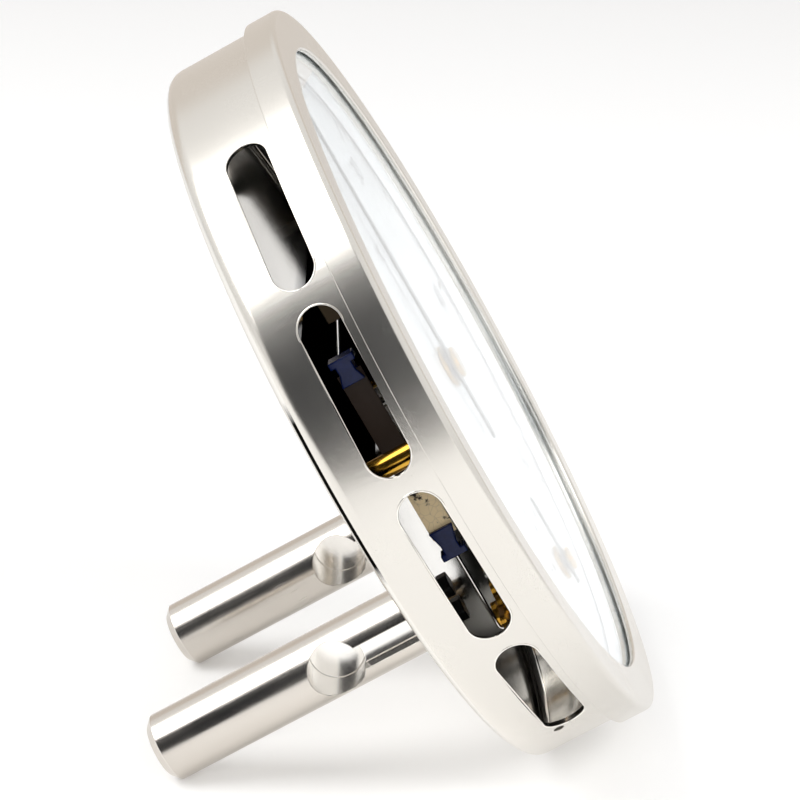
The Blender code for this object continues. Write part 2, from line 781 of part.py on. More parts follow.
# Humidity pointer: bush, arbor with pinion and hairspring collet, hand and nut
humid_bore = HUMID_ARBOR_RADIUS + BORE_GAP
lever_front = -LEVER_SETBACK + LEVER_THICKNESS / 2
lever_back = -LEVER_SETBACK - LEVER_THICKNESS / 2
pinion_front = -LEVER_SETBACK + PINION_HEIGHT / 2
pinion_back = -LEVER_SETBACK - PINION_HEIGHT / 2
spring_front = -HAIRSPRING_SETBACK + HAIRSPRING_HEIGHT / 2
spring_back = -HAIRSPRING_SETBACK - HAIRSPRING_HEIGHT / 2
cock_front = -COCK_SETBACK + COCK_THICKNESS / 2
cock_back = -COCK_SETBACK - COCK_THICKNESS / 2
bush("humid_bush", HUMID_BUSH_RADIUS, HUMID_FLANGE_RADIUS, humid_bore, humidity_axis)
turned(
    "humid_arbor",
    [
        (0.0, NUT_FRONT),
        (HUMID_ARBOR_RADIUS, NUT_FRONT),
        (HUMID_ARBOR_RADIUS, pinion_front),
        (PINION_RADIUS, pinion_front),
        (PINION_RADIUS, pinion_back),
        (HUMID_ARBOR_RADIUS, pinion_back),
        (HUMID_ARBOR_RADIUS, spring_front),
        (HAIRSPRING_COLLET, spring_front),
        (HAIRSPRING_COLLET, spring_back),
        (HUMID_ARBOR_RADIUS, spring_back),
        (HUMID_ARBOR_RADIUS, cock_back),
        (0.0, cock_back),
    ],
    BRIGHT_STEEL,
    humidity_axis,
)
hand(
    "humid_hand",
    HUMID_HAND_LENGTH,
    HUMID_HAND_TAIL,
    HUMID_HAND_BASE,
    HUMID_HAND_TIP,
    HUMID_HAND_HUB,
    humid_bore,
    humidity_axis,
)
hub_nut("humid_hand_nut", HUMID_NUT_RADIUS, humid_bore, humidity_axis)

# Hairspring that keeps the strip taut, and the stud that holds its outer end
hairspring_inner = HAIRSPRING_COLLET + GAP + HAIRSPRING_THICKNESS / 2
hairspring_outer = hairspring_inner + HAIRSPRING_PITCH * HAIRSPRING_TURNS
hairspring_seat = empty("hairspring_seat", (0.0, -HUMID_DROP, 0.0), instrument)
spiral(
    "hairspring",
    hairspring_inner,
    HAIRSPRING_PITCH,
    HAIRSPRING_TURNS,
    HAIRSPRING_BEARING,
    HAIRSPRING_THICKNESS,
    -HAIRSPRING_SETBACK,
    HAIRSPRING_HEIGHT,
    SPRING_METAL,
    hairspring_seat,
)
stud_reach = hairspring_outer + HAIRSPRING_THICKNESS / 2 + GAP + STUD_RADIUS
stud_x, stud_y = on_circle(stud_reach, HAIRSPRING_BEARING)
stud_place = empty("hairspring_stud_place", (stud_x, stud_y - HUMID_DROP, 0.0), instrument)
turned(
    "hairspring_stud",
    [(0.0, POST_FRONT), (STUD_RADIUS, POST_FRONT), (STUD_RADIUS, spring_back), (0.0, spring_back)],
    BRASS,
    stud_place,
)

# Cock: a bridge that carries the rear end of the humidity arbor on one post
cock_place = empty("cock_place", (0.0, -HUMID_DROP, 0.0), instrument)
cock_outline = arc((COCK_REACH, 0.0), COCK_HALF_WIDTH, -math.pi / 2, math.pi / 2)
cock_outline += arc((0.0, 0.0), COCK_HALF_WIDTH, math.pi / 2, 1.5 * math.pi)
cock_screw_bore = COCK_SCREW_RADIUS + BORE_GAP
plate(
    "humid_cock",
    [
        cock_outline,
        circle((0.0, 0.0), humid_bore),
        circle((COCK_REACH, 0.0), cock_screw_bore),
    ],
    cock_back,
    cock_front,
    BRASS,
    cock_place,
)
cock_post_back = cock_front + GAP
cock_tap = cock_post_back + COCK_SCREW_GRIP + SCREW_TIP_ROOM
cock_post_place = empty("cock_post_place", (COCK_REACH, -HUMID_DROP, 0.0), instrument)
turned(
    "cock_post",
    [
        (0.0, POST_FRONT),
        (COCK_POST_RADIUS, POST_FRONT),
        (COCK_POST_RADIUS, cock_post_back),
        (cock_screw_bore, cock_post_back),
        (cock_screw_bore, cock_tap),
        (0.0, cock_tap),
    ],
    BRASS,
    cock_post_place,
)
cock_head = cock_back - GAP
cock_screw = turned(
    "cock_screw",
    [
        (0.0, cock_post_back + COCK_SCREW_GRIP),
        (COCK_SCREW_RADIUS, cock_post_back + COCK_SCREW_GRIP),
        (COCK_SCREW_RADIUS, cock_head),
        (COCK_HEAD_RADIUS, cock_head),
        (COCK_HEAD_RADIUS, cock_head - COCK_HEAD_HEIGHT),
        (0.0, cock_head - COCK_HEAD_HEIGHT),
    ],
    BRIGHT_STEEL,
    cock_post_place,
)
boolean(
    cock_screw,
    drive_slot("cock_screw_slot", COCK_HEAD_RADIUS, cock_head - COCK_HEAD_HEIGHT, cock_post_place),
)

# Sector lever: a short arm pulled by the strip and a long arm that turns the pinion
pinion_offset = Vector((-LEVER_PIVOT[0], -HUMID_DROP - LEVER_PIVOT[1]))
pinion_bearing = math.atan2(pinion_offset.y, pinion_offset.x)
sector_radius = pinion_offset.length - PINION_RADIUS - GAP
sector_root = sector_radius - SECTOR_DEPTH
arm_side = math.asin(LEVER_ARM_WIDTH / 2 / LEVER_HUB_RADIUS)
eye_bearing = math.pi - pinion_bearing
eye_side = math.asin(LEVER_EYE_RADIUS / LEVER_HUB_RADIUS)
eye = on_circle(LEVER_ARM, eye_bearing)
lever_outline = arc((0.0, 0.0), sector_radius, -SECTOR_HALF_ANGLE, SECTOR_HALF_ANGLE, SECTOR_STEPS)
lever_outline += [on_circle(sector_root, SECTOR_HALF_ANGLE), (sector_root, LEVER_ARM_WIDTH / 2)]
lever_outline += arc((0.0, 0.0), LEVER_HUB_RADIUS, arm_side, eye_bearing - eye_side)
lever_outline += arc(eye, LEVER_EYE_RADIUS, eye_bearing - math.pi / 2, eye_bearing + math.pi / 2)
lever_outline += arc((0.0, 0.0), LEVER_HUB_RADIUS, eye_bearing + eye_side, math.tau - arm_side)
lever_outline += [(sector_root, -LEVER_ARM_WIDTH / 2), on_circle(sector_root, -SECTOR_HALF_ANGLE)]
lever = plate(
    "sector_lever",
    [
        lever_outline,
        circle((0.0, 0.0), LEVER_PIN_RADIUS + BORE_GAP),
        circle(eye, LINK_RADIUS + LINK_EYE_GAP),
    ],
    lever_back,
    lever_front,
    BRASS,
    lever_axis,
)
lever.rotation_euler = (0.0, 0.0, pinion_bearing)

# Lever post on the back of the dial, and the collar that keeps the lever on it
lever_post_place = empty("lever_post_place", (*LEVER_PIVOT, 0.0), instrument)
collar_front = lever_back - GAP
collar_back = collar_front - COLLAR_HEIGHT
turned(
    "lever_post",
    [
        (0.0, POST_FRONT),
        (LEVER_POST_RADIUS, POST_FRONT),
        (LEVER_POST_RADIUS, lever_front + GAP),
        (LEVER_PIN_RADIUS, lever_front + GAP),
        (LEVER_PIN_RADIUS, collar_back),
        (0.0, collar_back),
    ],
    BRASS,
    lever_post_place,
)
turned(
    "lever_collar",
    [
        (COLLAR_RADIUS, collar_front),
        (COLLAR_RADIUS, collar_back),
        (LEVER_PIN_RADIUS + BORE_GAP, collar_back),
        (LEVER_PIN_RADIUS + BORE_GAP, collar_front),
    ],
    BRASS,
    lever_post_place,
    closed=True,
)

# Humidity strip, hanging between two moulded clips
strip_seat = empty("strip_seat", (STRIP_X, 0.0, -STRIP_SETBACK), instrument)
strip_mesh = box_mesh(
    "hygro_strip",
    (-STRIP_THICKNESS / 2, STRIP_BOTTOM, -STRIP_WIDTH / 2),
    (STRIP_THICKNESS / 2, STRIP_TOP, STRIP_WIDTH / 2),
)
finished(bpy.data.objects.new("hygro_strip", strip_mesh), STRIP_BEIGE, strip_seat)

# Clip outlines are drawn in (height, width) and stood up across the strip's thickness
stand_up = Matrix(((0.0, 0.0, 1.0), (1.0, 0.0, 0.0), (0.0, 1.0, 0.0))).to_4x4()
slit_half = STRIP_THICKNESS / 2 + GAP


def clip(name, strip_end, slit_end, outward, parent):
    """A moulded block slit for the strip's end, tapered to a waist before a wider lip."""
    mouth = strip_end - outward * CLIP_GRIP
    tip = slit_end + outward * CLIP_END
    neck = tip - outward * CLIP_LIP_HEIGHT
    edge = [
        (mouth, STRIP_WIDTH / 2),
        (slit_end, CLIP_WAIST_WIDTH / 2),
        (neck, CLIP_WAIST_WIDTH / 2),
        (neck, CLIP_LIP_WIDTH / 2),
        (tip, CLIP_LIP_WIDTH / 2),
    ]
    outline = edge + [(height, -width) for height, width in reversed(edge)]
    mesh = flat_mesh(name, [outline], CLIP_THICKNESS, stand_up)
    block = finished(bpy.data.objects.new(name, mesh), NAVY_PLASTIC, parent)
    low, high = sorted((slit_end, mouth - outward * CLIP_GRIP))
    slit = box_mesh(
        f"{name}_slit",
        (-slit_half, low, -STRIP_WIDTH),
        (slit_half, high, STRIP_WIDTH),
    )
    boolean(block, cutter(f"{name}_slit", slit, parent))
    return tip


# Upper clip, fixed, held by the hanger wire
upper_high = clip("upper_clip", STRIP_TOP, STRIP_TOP + GAP, 1.0, strip_seat)

# Lower clip, which moves with the strip's length
lip_bottom = clip("lower_clip", STRIP_BOTTOM, STRIP_BOTTOM - CLIP_TRAVEL_ROOM, -1.0, strip_line)

# Link wire from the lower clip, hooked through the eye of the lever
link_front = lever_front + GAP + STRIP_SETBACK
wire(
    "strip_link",
    [
        (0.0, lip_bottom - GAP, 0.0),
        (0.0, -LEVER_DROP, 0.0),
        (0.0, -LEVER_DROP, link_front),
    ],
    LINK_RADIUS,
    BRIGHT_STEEL,
    strip_line,
)

# Hanger: a thin wire from the upper clip to a block on the back of the dial
block_front = POST_FRONT + STRIP_SETBACK
block_back = block_front - HANGER_BLOCK_DEPTH
block_low = upper_high + HANGER_RISE + GAP
block_high = block_low + HANGER_BLOCK_HEIGHT
block_middle = (block_front + block_back) / 2
wire(
    "hanger_wire",
    [
        (0.0, upper_high + GAP, 0.0),
        (0.0, upper_high + HANGER_RISE, block_middle),
    ],
    HANGER_WIRE_RADIUS,
    BRIGHT_STEEL,
    strip_seat,
)
block_mesh = box_mesh(
    "hanger_block",
    (-HANGER_BLOCK_WIDTH / 2, block_low, block_back),
    (HANGER_BLOCK_WIDTH / 2, block_high, block_front),
)
hanger_block = finished(bpy.data.objects.new("hanger_block", block_mesh), BRASS, strip_seat)
hanger_tap = block_high - HANGER_SCREW_GRIP - SCREW_TIP_ROOM
tap_mesh = rod_mesh(
    "hanger_tap",
    HANGER_SCREW_RADIUS + BORE_GAP,
    (0.0, hanger_tap, block_middle),
    (0.0, block_high + HANGER_SCREW_GRIP, block_middle),
)
boolean(hanger_block, cutter("hanger_tap", tap_mesh, strip_seat))

# Clamp screw in the top of the block
screw_seat = empty("hanger_screw_place", (0.0, block_high, block_middle), strip_seat)
screw_seat.rotation_euler = (-math.pi / 2, 0.0, 0.0)
turned(
    "hanger_screw",
    [
        (0.0, GAP + HANGER_HEAD_HEIGHT),
        (HANGER_HEAD_RADIUS, GAP + HANGER_HEAD_HEIGHT),
        (HANGER_HEAD_RADIUS, GAP),
        (HANGER_SCREW_RADIUS, GAP),
        (HANGER_SCREW_RADIUS, -HANGER_SCREW_GRIP),
        (0.0, -HANGER_SCREW_GRIP),
    ],
    BRIGHT_STEEL,
    screw_seat,
)

# Legs: round bars square to the back, long enough to reach the ground that the case stands on
case_low = (CASE_RADIUS - CASE_FILLET) * math.cos(TILT)
case_low += (CASE_DEPTH - CASE_FILLET) * math.sin(TILT) + CASE_FILLET
leg_end = LEG_CHAMFER + (case_low - (LEG_DROP + LEG_RADIUS) * math.cos(TILT)) / math.sin(TILT)
leg_front = BACK_OUTER - GAP
leg_tap = leg_front - LEG_SCREW_GRIP - SCREW_TIP_ROOM
leg_screw_bore = LEG_SCREW_RADIUS + BORE_GAP
keyhole_floor = math.sqrt(LEG_RADIUS**2 - KEYHOLE_RADIUS**2) - KEYHOLE_WALL
hex_corner = LEG_HEX_FLATS / math.sqrt(3)
for side, x in (("left", -LEG_SPREAD), ("right", LEG_SPREAD)):
    place = empty(f"leg_{side}_place", (x, -LEG_DROP, 0.0), instrument)
    leg = turned(
        f"leg_{side}",
        [
            (0.0, leg_front),
            (LEG_RADIUS, leg_front),
            (LEG_RADIUS, LEG_CHAMFER - leg_end),
            (LEG_RADIUS - LEG_CHAMFER, -leg_end),
            (0.0, -leg_end),
        ],
        SATIN_STEEL,
        place,
        ROD_STEPS,
    )

    # Keyhole recess in the left side of the bar: a round pocket and a groove from it to the case
    pocket = rod_mesh(
        f"keyhole_{side}",
        KEYHOLE_RADIUS,
        (-2 * LEG_RADIUS, 0.0, -KEYHOLE_SETBACK),
        (keyhole_floor, 0.0, -KEYHOLE_SETBACK),
        ROD_STEPS,
    )
    boolean(leg, cutter(f"keyhole_{side}", pocket, place))
    groove = box_mesh(
        f"groove_{side}",
        (-2 * LEG_RADIUS, -GROOVE_WIDTH / 2, -KEYHOLE_SETBACK),
        (GROOVE_DEPTH - LEG_RADIUS, GROOVE_WIDTH / 2, 0.0),
    )
    boolean(leg, cutter(f"groove_{side}", groove, place))

    # Two black hex screws from inside the case hold the bar and stop it turning
    for row, y in (("upper", LEG_SCREW_SPACING / 2), ("lower", -LEG_SCREW_SPACING / 2)):
        tap = rod_mesh(f"leg_tap_{side}_{row}", leg_screw_bore, (0.0, y, leg_tap), (0.0, y, 0.0))
        boolean(leg, cutter(f"leg_tap_{side}_{row}", tap, place))
        drill_back(f"leg_hole_{side}_{row}", x, y - LEG_DROP, leg_screw_bore)
        head_back = BACK_INNER + GAP
        hex_outline = [(px, py + y) for px, py in circle((0.0, 0.0), hex_corner, 6)]
        screw = plate(
            f"leg_screw_{side}_{row}",
            [hex_outline],
            head_back,
            head_back + LEG_HEX_HEIGHT,
            BLACK_STEEL,
            place,
        )
        shank = rod_mesh(
            f"leg_shank_{side}_{row}",
            LEG_SCREW_RADIUS,
            (0.0, y, leg_front - LEG_SCREW_GRIP),
            (0.0, y, head_back + LEG_HEX_HEIGHT / 2),
        )
        boolean(screw, cutter(f"leg_shank_{side}_{row}", shank, place), "UNION")

# Stand the instrument on the ground, centred over the origin
bpy.context.view_layer.update()
graph = bpy.context.evaluated_depsgraph_get()
corners = []
for piece in parts.objects:
    if piece.type == "EMPTY":
        continue
    shape = piece.evaluated_get(graph)
    mesh = shape.to_mesh()
    corners += [shape.matrix_world @ vertex.co for vertex in mesh.vertices]
    shape.to_mesh_clear()
lows = [min(corner[axis] for corner in corners) for axis in range(3)]
highs = [max(corner[axis] for corner in corners) for axis in range(3)]
instrument.location = (-(lows[0] + highs[0]) / 2, -(lows[1] + highs[1]) / 2, -lows[2])

# Round pieces are shaded smooth between their sharp edges
for piece in parts.objects:
    if piece.type == "MESH":
        piece.data.shade_smooth()
        piece.data.set_sharp_from_angle(angle=SHARP_ANGLE)
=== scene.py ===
"""Looks, stage and camera for a tilted desk dial thermometer with a small humidity dial.

Every piece is drawn in millimetres in the drum's own frame: X across the dial, Y up the dial and Z out
of the glass, with the seam between case and bezel at Z = 0. One matrix then tilts it as the CAD model is.
"""

import json
import math

import bmesh
import bpy
from mathutils import Matrix, Vector

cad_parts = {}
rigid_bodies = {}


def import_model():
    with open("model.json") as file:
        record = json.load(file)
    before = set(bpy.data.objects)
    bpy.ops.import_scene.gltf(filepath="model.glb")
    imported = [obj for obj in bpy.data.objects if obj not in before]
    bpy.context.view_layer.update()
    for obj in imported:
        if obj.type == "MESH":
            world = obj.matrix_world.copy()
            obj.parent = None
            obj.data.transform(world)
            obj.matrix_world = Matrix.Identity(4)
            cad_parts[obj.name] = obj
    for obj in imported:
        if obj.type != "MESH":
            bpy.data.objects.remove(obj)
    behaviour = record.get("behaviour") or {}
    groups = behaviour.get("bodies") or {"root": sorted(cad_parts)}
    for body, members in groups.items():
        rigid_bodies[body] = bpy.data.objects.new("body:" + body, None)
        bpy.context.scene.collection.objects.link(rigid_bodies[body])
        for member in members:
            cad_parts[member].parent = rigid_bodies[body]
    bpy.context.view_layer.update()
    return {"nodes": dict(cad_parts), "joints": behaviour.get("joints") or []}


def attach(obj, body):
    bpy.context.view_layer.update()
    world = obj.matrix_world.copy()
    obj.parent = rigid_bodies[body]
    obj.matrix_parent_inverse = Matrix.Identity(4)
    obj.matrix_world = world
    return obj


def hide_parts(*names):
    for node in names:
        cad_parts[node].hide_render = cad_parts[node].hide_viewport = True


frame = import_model()
scene = bpy.context.scene
scene.view_settings.view_transform = "Standard"

# Drum case. A cup deep-drawn from stainless sheet with a rounded rear edge, blasted to a satin outside
# and left bright inside. Four vent slots are punched on each side, and a small hole is drilled under
# the rim. The cup carries everything else.
MM = 0.001
CASE_RADIUS, CASE_BORE = 58.0, 57.2
BACK_OUTER, BACK_INNER = -14.4, -13.6
CASE_FRONT = 2.0
REAR_EDGE_OUTER, REAR_EDGE_INNER = 2.4, 1.6
SLOT_WIDTH, SLOT_LENGTH, SLOT_MIDDLE = 6.46, 25.3, -4.56
SLOT_ANGLES = (46.4, 18.4, -9.6, -37.6)
RIM_HOLE_RADIUS, RIM_HOLE_ANGLE, RIM_HOLE_HEIGHT = 0.8, 231.0, -6.6
ADJUSTER_HOLE = 3.0
SMOOTH_UNDER = math.radians(32.0)
DRIFT_SIZE = 14.0
BRIGHT_STAINLESS = "#E2DFD9"

hinge = next(joint for joint in frame["joints"] if joint["name"] == "temperature_hinge")
out_of_glass = Vector(hinge["axis"])
up_the_dial = out_of_glass.cross((1.0, 0.0, 0.0))
drum = Matrix(((1.0, 0.0, 0.0), up_the_dial, out_of_glass)).transposed().to_4x4()
drum.translation = hinge["pos_m"]


def linear(code):
    """An sRGB hex colour as linear light."""
    channels = [int(code[place : place + 2], 16) / 255 for place in (1, 3, 5)]
    return (*[c / 12.92 if c < 0.04046 else ((c + 0.055) / 1.055) ** 2.4 for c in channels], 1.0)


def add(tree, kind, inputs=None, **settings):
    """Adds a node with its settings, and links or sets its inputs."""
    made = tree.nodes.new(kind)
    for name, value in settings.items():
        setattr(made, name, value)
    for name, value in (inputs or {}).items():
        if isinstance(value, bpy.types.NodeSocket):
            tree.links.new(value, made.inputs[name])
        else:
            made.inputs[name].default_value = value
    return made


def surface(name, code, roughness, metallic=0.0):
    """A material with its Principled shader, and the drum's coordinates in metres for its patterns."""
    look = bpy.data.materials.new(name)
    look.use_nodes = True
    tree = look.node_tree
    shader = tree.nodes["Principled BSDF"]
    shader.inputs["Base Color"].default_value = linear(code)
    shader.inputs["Roughness"].default_value = roughness
    shader.inputs["Metallic"].default_value = metallic
    place = add(
        tree,
        "ShaderNodeMapping",
        {
            "Vector": add(tree, "ShaderNodeTexCoord").outputs["Object"],
            "Location": drum.translation,
            "Rotation": drum.to_euler(),
        },
        vector_type="TEXTURE",
    )
    return look, tree, shader, place.outputs[0]


def noise(tree, place, size, detail, roughness=0.5):
    """A noise pattern whose features are a size apart in millimetres."""
    inputs = {"Vector": place, "Scale": 1.0 / (size * MM), "Detail": detail, "Roughness": roughness}
    return add(tree, "ShaderNodeTexNoise", inputs).outputs["Fac"]


def combine(tree, operation, first, second):
    """Two values joined by a maths operation."""
    return add(tree, "ShaderNodeMath", {0: first, 1: second}, operation=operation).outputs[0]


def rescale(tree, value, start, end, low=0.0, high=1.0, **settings):
    """A value taken from one range to another, and held inside it."""
    inputs = {"Value": value, "From Min": start, "From Max": end, "To Min": low, "To Max": high}
    return add(tree, "ShaderNodeMapRange", inputs, **settings).outputs[0]


def shade_between(tree, shader, pattern, low, high):
    """Colours a material between two hex colours by a pattern."""
    shade = add(tree, "ShaderNodeMix", {0: pattern, 6: linear(low), 7: linear(high)}, data_type="RGBA")
    tree.links.new(shade.outputs[2], shader.inputs["Base Color"])


def emboss(tree, shader, pattern, depth, strength):
    """Raises a pattern by a depth in millimetres."""
    relief = add(tree, "ShaderNodeBump", {"Height": pattern, "Distance": depth * MM, "Strength": strength})
    tree.links.new(relief.outputs[0], shader.inputs["Normal"])


def worked_metal(name, code, roughness, grain, depth, stretch=(1.0, 1.0, 1.0), spread=0.25):
    """A bare metal: tool or grit marks a grain apart in mm, and roughness that drifts over the piece."""
    look, tree, shader, place = surface(name, code, roughness, 1.0)
    along = add(tree, "ShaderNodeMapping", {"Vector": place, "Scale": stretch})
    marks = noise(tree, along.outputs[0], grain, 3.0, roughness=0.6)
    both = combine(tree, "ADD", marks, noise(tree, place, DRIFT_SIZE, 2.0))
    rough = rescale(tree, both, 0.6, 1.4, roughness * (1 - spread), roughness * (1 + spread))
    tree.links.new(rough, shader.inputs["Roughness"])
    emboss(tree, shader, marks, depth, 0.5)
    return look


# Grit marks are about 0.05 mm on the real case, drawn at 0.12 mm so that the satin shows in close views
satin_stainless = worked_metal("satin_blasted_stainless", "#D9D5CE", 0.26, 0.12, 0.0003, spread=0.12)
bright_stainless = worked_metal("bright_drawn_stainless", BRIGHT_STAINLESS, 0.10, 1.5, 0.002)
sheared_stainless = worked_metal("sheared_edge_stainless", "#E8E4DD", 0.16, 0.3, 0.002)

# Painted shade: a black band across the inside, behind the humidity strip, with a soft edge, stands for the
# shade inside the case there
PAINTED_SHADE_MIDDLE, PAINTED_SHADE_HALF, PAINTED_SHADE_EDGE = 7.0, 14.0, 3.0
tree = bright_stainless.node_tree
shader = tree.nodes["Principled BSDF"]
height = add(tree, "ShaderNodeSeparateXYZ", {"Vector": tree.nodes["Mapping"].outputs[0]})
above = combine(tree, "SUBTRACT", height.outputs["Y"], PAINTED_SHADE_MIDDLE * MM)
away = add(tree, "ShaderNodeMath", {0: above}, operation="ABSOLUTE")
bare = rescale(tree, away.outputs[0], (PAINTED_SHADE_HALF - PAINTED_SHADE_EDGE) * MM, PAINTED_SHADE_HALF * MM)
# Painted shade: near-black inside the band, with no metallic sheen or specular reflection there; the steel
# outside the band is left as it is
shade_between(tree, shader, bare, "#0D0C0B", BRIGHT_STAINLESS)
for dulled in ("Metallic", "Specular IOR Level"):
    tree.links.new(bare, shader.inputs[dulled])


def eased(corners, steps=5):
    """Corners of (x, y, ease) joined by arcs of that radius."""
    points = []
    for number, (x, y, ease) in enumerate(corners):
        here = Vector((x, y, 0.0))
        if ease == 0.0:
            points.append((x, y))
            continue
        back = (Vector((*corners[number - 1][:2], 0.0)) - here).normalized()
        on = (Vector((*corners[(number + 1) % len(corners)][:2], 0.0)) - here).normalized()
        half = back.angle(on) / 2
        centre = here + (back + on).normalized() * (ease / math.sin(half))
        start = (here + back * (ease / math.tan(half)) - centre).normalized()
        end = (here + on * (ease / math.tan(half)) - centre).normalized()
        for step in range(steps + 1):
            point = centre + ease * start.slerp(end, step / steps)
            points.append((point.x, point.y))
    return points


def kept(shape, name):
    """Turns a finished bmesh into a mesh with outward faces."""
    bmesh.ops.remove_doubles(shape, verts=shape.verts, dist=0.001 * MM)
    bmesh.ops.recalc_face_normals(shape, faces=shape.faces)
    mesh = bpy.data.meshes.new(name)
    shape.to_mesh(mesh)
    shape.free()
    return mesh


def turned(name, corners, steps=96, ring=False):
    """A lathe-turned mesh from profile corners of (radius, height, ease)."""
    shape = bmesh.new()
    verts = [shape.verts.new((radius * MM, 0.0, height * MM)) for radius, height in eased(corners)]
    ends = verts[1:] + verts[:1] if ring else verts[1:]
    edges = [shape.edges.new(pair) for pair in zip(verts, ends)]
    bmesh.ops.spin(
        shape,
        geom=verts + edges,
        cent=(0.0, 0.0, 0.0),
        axis=(0.0, 0.0, 1.0),
        angle=math.tau,
        steps=steps,
        use_merge=True,
    )
    return kept(shape, name)


def slab(name, outline, low, high, turn=Matrix.Identity(4)):
    """A flat mesh between two heights from an outline of (x, y), turned into place by a matrix."""
    shape = bmesh.new()
    rings = [
        [shape.verts.new(turn @ Vector((x * MM, y * MM, height * MM))) for x, y in outline]
        for height in (low, high)
    ]
    for ring in rings:
        shape.faces.new(ring)
    for number in range(len(outline)):
        before = number - 1
        shape.faces.new((rings[0][before], rings[0][number], rings[1][number], rings[1][before]))
    return kept(shape, name)


def cut(mesh, tools):
    """The mesh with each tool mesh cut out of it."""
    stock = bpy.data.objects.new(mesh.name, mesh)
    scene.collection.objects.link(stock)
    cutters = []
    for tool in tools:
        cutter = bpy.data.objects.new(tool.name, tool)
        scene.collection.objects.link(cutter)
        cutters.append(cutter)
        change = stock.modifiers.new(tool.name, "BOOLEAN")
        change.solver = "EXACT"
        change.object = cutter
    bpy.context.view_layer.update()
    graph = bpy.context.evaluated_depsgraph_get()
    result = bpy.data.meshes.new_from_object(stock.evaluated_get(graph))
    for old in [stock] + cutters:
        bpy.data.objects.remove(old, do_unlink=True)
    return result


def fit(name, data, look, body, nodes=(), at=(0.0, 0.0), soften=0.0):
    """Puts a mesh or curve in the drum's frame, softens its edges and hands it to its body."""
    data.transform(drum @ Matrix.Translation((at[0] * MM, at[1] * MM, 0.0)))
    piece = bpy.data.objects.new(name, data)
    scene.collection.objects.link(piece)
    if not data.materials:
        data.materials.append(look)
    if piece.type == "MESH":
        data.shade_smooth()
        data.set_sharp_from_angle(angle=SMOOTH_UNDER)
        if soften:
            bevel = piece.modifiers.new("softened edges", "BEVEL")
            bevel.width = soften * MM
            bevel.segments = 3
            bevel.limit_method = "ANGLE"
            bevel.angle_limit = SMOOTH_UNDER
            bevel.use_clamp_overlap = False
        flat = piece.modifiers.new("flat faces stay flat", "WEIGHTED_NORMAL")
        flat.keep_sharp = True
    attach(piece, body)
    if nodes:
        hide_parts(*nodes)
    return piece


def rod(name, radius, start, end, steps=64):
    """A round cutter between two points in millimetres."""
    start, end = Vector(start) * MM, Vector(end) * MM
    turn = (end - start).to_track_quat("Z", "Y").to_matrix().to_4x4()
    shape = bmesh.new()
    bmesh.ops.create_cone(
        shape,
        cap_ends=True,
        segments=steps,
        radius1=radius * MM,
        radius2=radius * MM,
        depth=(end - start).length,
        matrix=Matrix.Translation((start + end) / 2) @ turn,
    )
    return kept(shape, name)


slot_half = SLOT_LENGTH / 2
slot_outline = eased(
    [
        (x, y, SLOT_WIDTH / 2 - 0.001)
        for x, y in (
            (slot_half, -SLOT_WIDTH / 2),
            (slot_half, SLOT_WIDTH / 2),
            (-slot_half, SLOT_WIDTH / 2),
            (-slot_half, -SLOT_WIDTH / 2),
        )
    ],
    steps=14,
)
case_cutters = [rod("adjuster_hole", ADJUSTER_HOLE, (0.0, 0.0, -20.0), (0.0, 0.0, -10.0))]
hole_turn = math.radians(RIM_HOLE_ANGLE)
hole_way = Vector((math.cos(hole_turn), math.sin(hole_turn), 0.0))
hole_lift = Vector((0.0, 0.0, RIM_HOLE_HEIGHT))
case_cutters.append(rod("rim_hole", RIM_HOLE_RADIUS, hole_way * 50 + hole_lift, hole_way * 65 + hole_lift))
slot_frames = []
for rise in SLOT_ANGLES:
    for angle in (math.radians(rise), math.radians(180.0 - rise)):
        outward = Vector((math.cos(angle), math.sin(angle), 0.0))
        across = Vector((-math.sin(angle), math.cos(angle), 0.0))
        stand = Matrix((across, (0.0, 0.0, 1.0), outward)).transposed().to_4x4()
        stand.translation = (0.0, 0.0, SLOT_MIDDLE * MM)
        slot_frames.append(stand)
        case_cutters.append(slab(f"slot_{len(slot_frames)}", slot_outline, 50.0, 65.0, stand))

case_mesh = cut(
    turned(
        "drum_case",
        [
            (0.0, BACK_INNER, 0.0),
            (CASE_BORE, BACK_INNER, REAR_EDGE_INNER),
            (CASE_BORE, CASE_FRONT, 0.0),
            (CASE_RADIUS, CASE_FRONT, 0.0),
            (CASE_RADIUS, BACK_OUTER, REAR_EDGE_OUTER),
            (0.0, BACK_OUTER, 0.0),
        ],
        steps=288,
    ),
    case_cutters,
)
case_mesh.materials.clear()
for look in (satin_stainless, bright_stainless):
    case_mesh.materials.append(look)
for face in case_mesh.polygons:
    centre = face.center / MM
    inside = math.hypot(centre.x, centre.y) < CASE_BORE + 0.1 and centre.z > BACK_INNER - 0.1
    face.material_index = 1 if inside else 0
fit("drum_case", case_mesh, None, "case", ["case_shell"])

# Slot lips. The punch rolls a thin bright lip around the outer edge of each vent slot in the case wall,
# drawn as one fine bead that follows the slot's outline round the drum.
LIP_RADIUS, LIP_SINK = 0.16, 0.07
lips = bpy.data.curves.new("slot_lips", "CURVE")
lips.dimensions = "3D"
lips.bevel_depth = LIP_RADIUS * MM
lips.bevel_resolution = 3
for stand in slot_frames:
    lip = lips.splines.new("POLY")
    lip.points.add(len(slot_outline) - 1)
    lip.use_cyclic_u = True
    for point, (x, y) in zip(lip.points, slot_outline):
        depth = math.sqrt(CASE_RADIUS**2 - x**2) - LIP_SINK
        point.co = (*(stand @ (Vector((x, y, depth)) * MM)), 1.0)
fit("slot_lips", lips, sheared_stainless, "case")

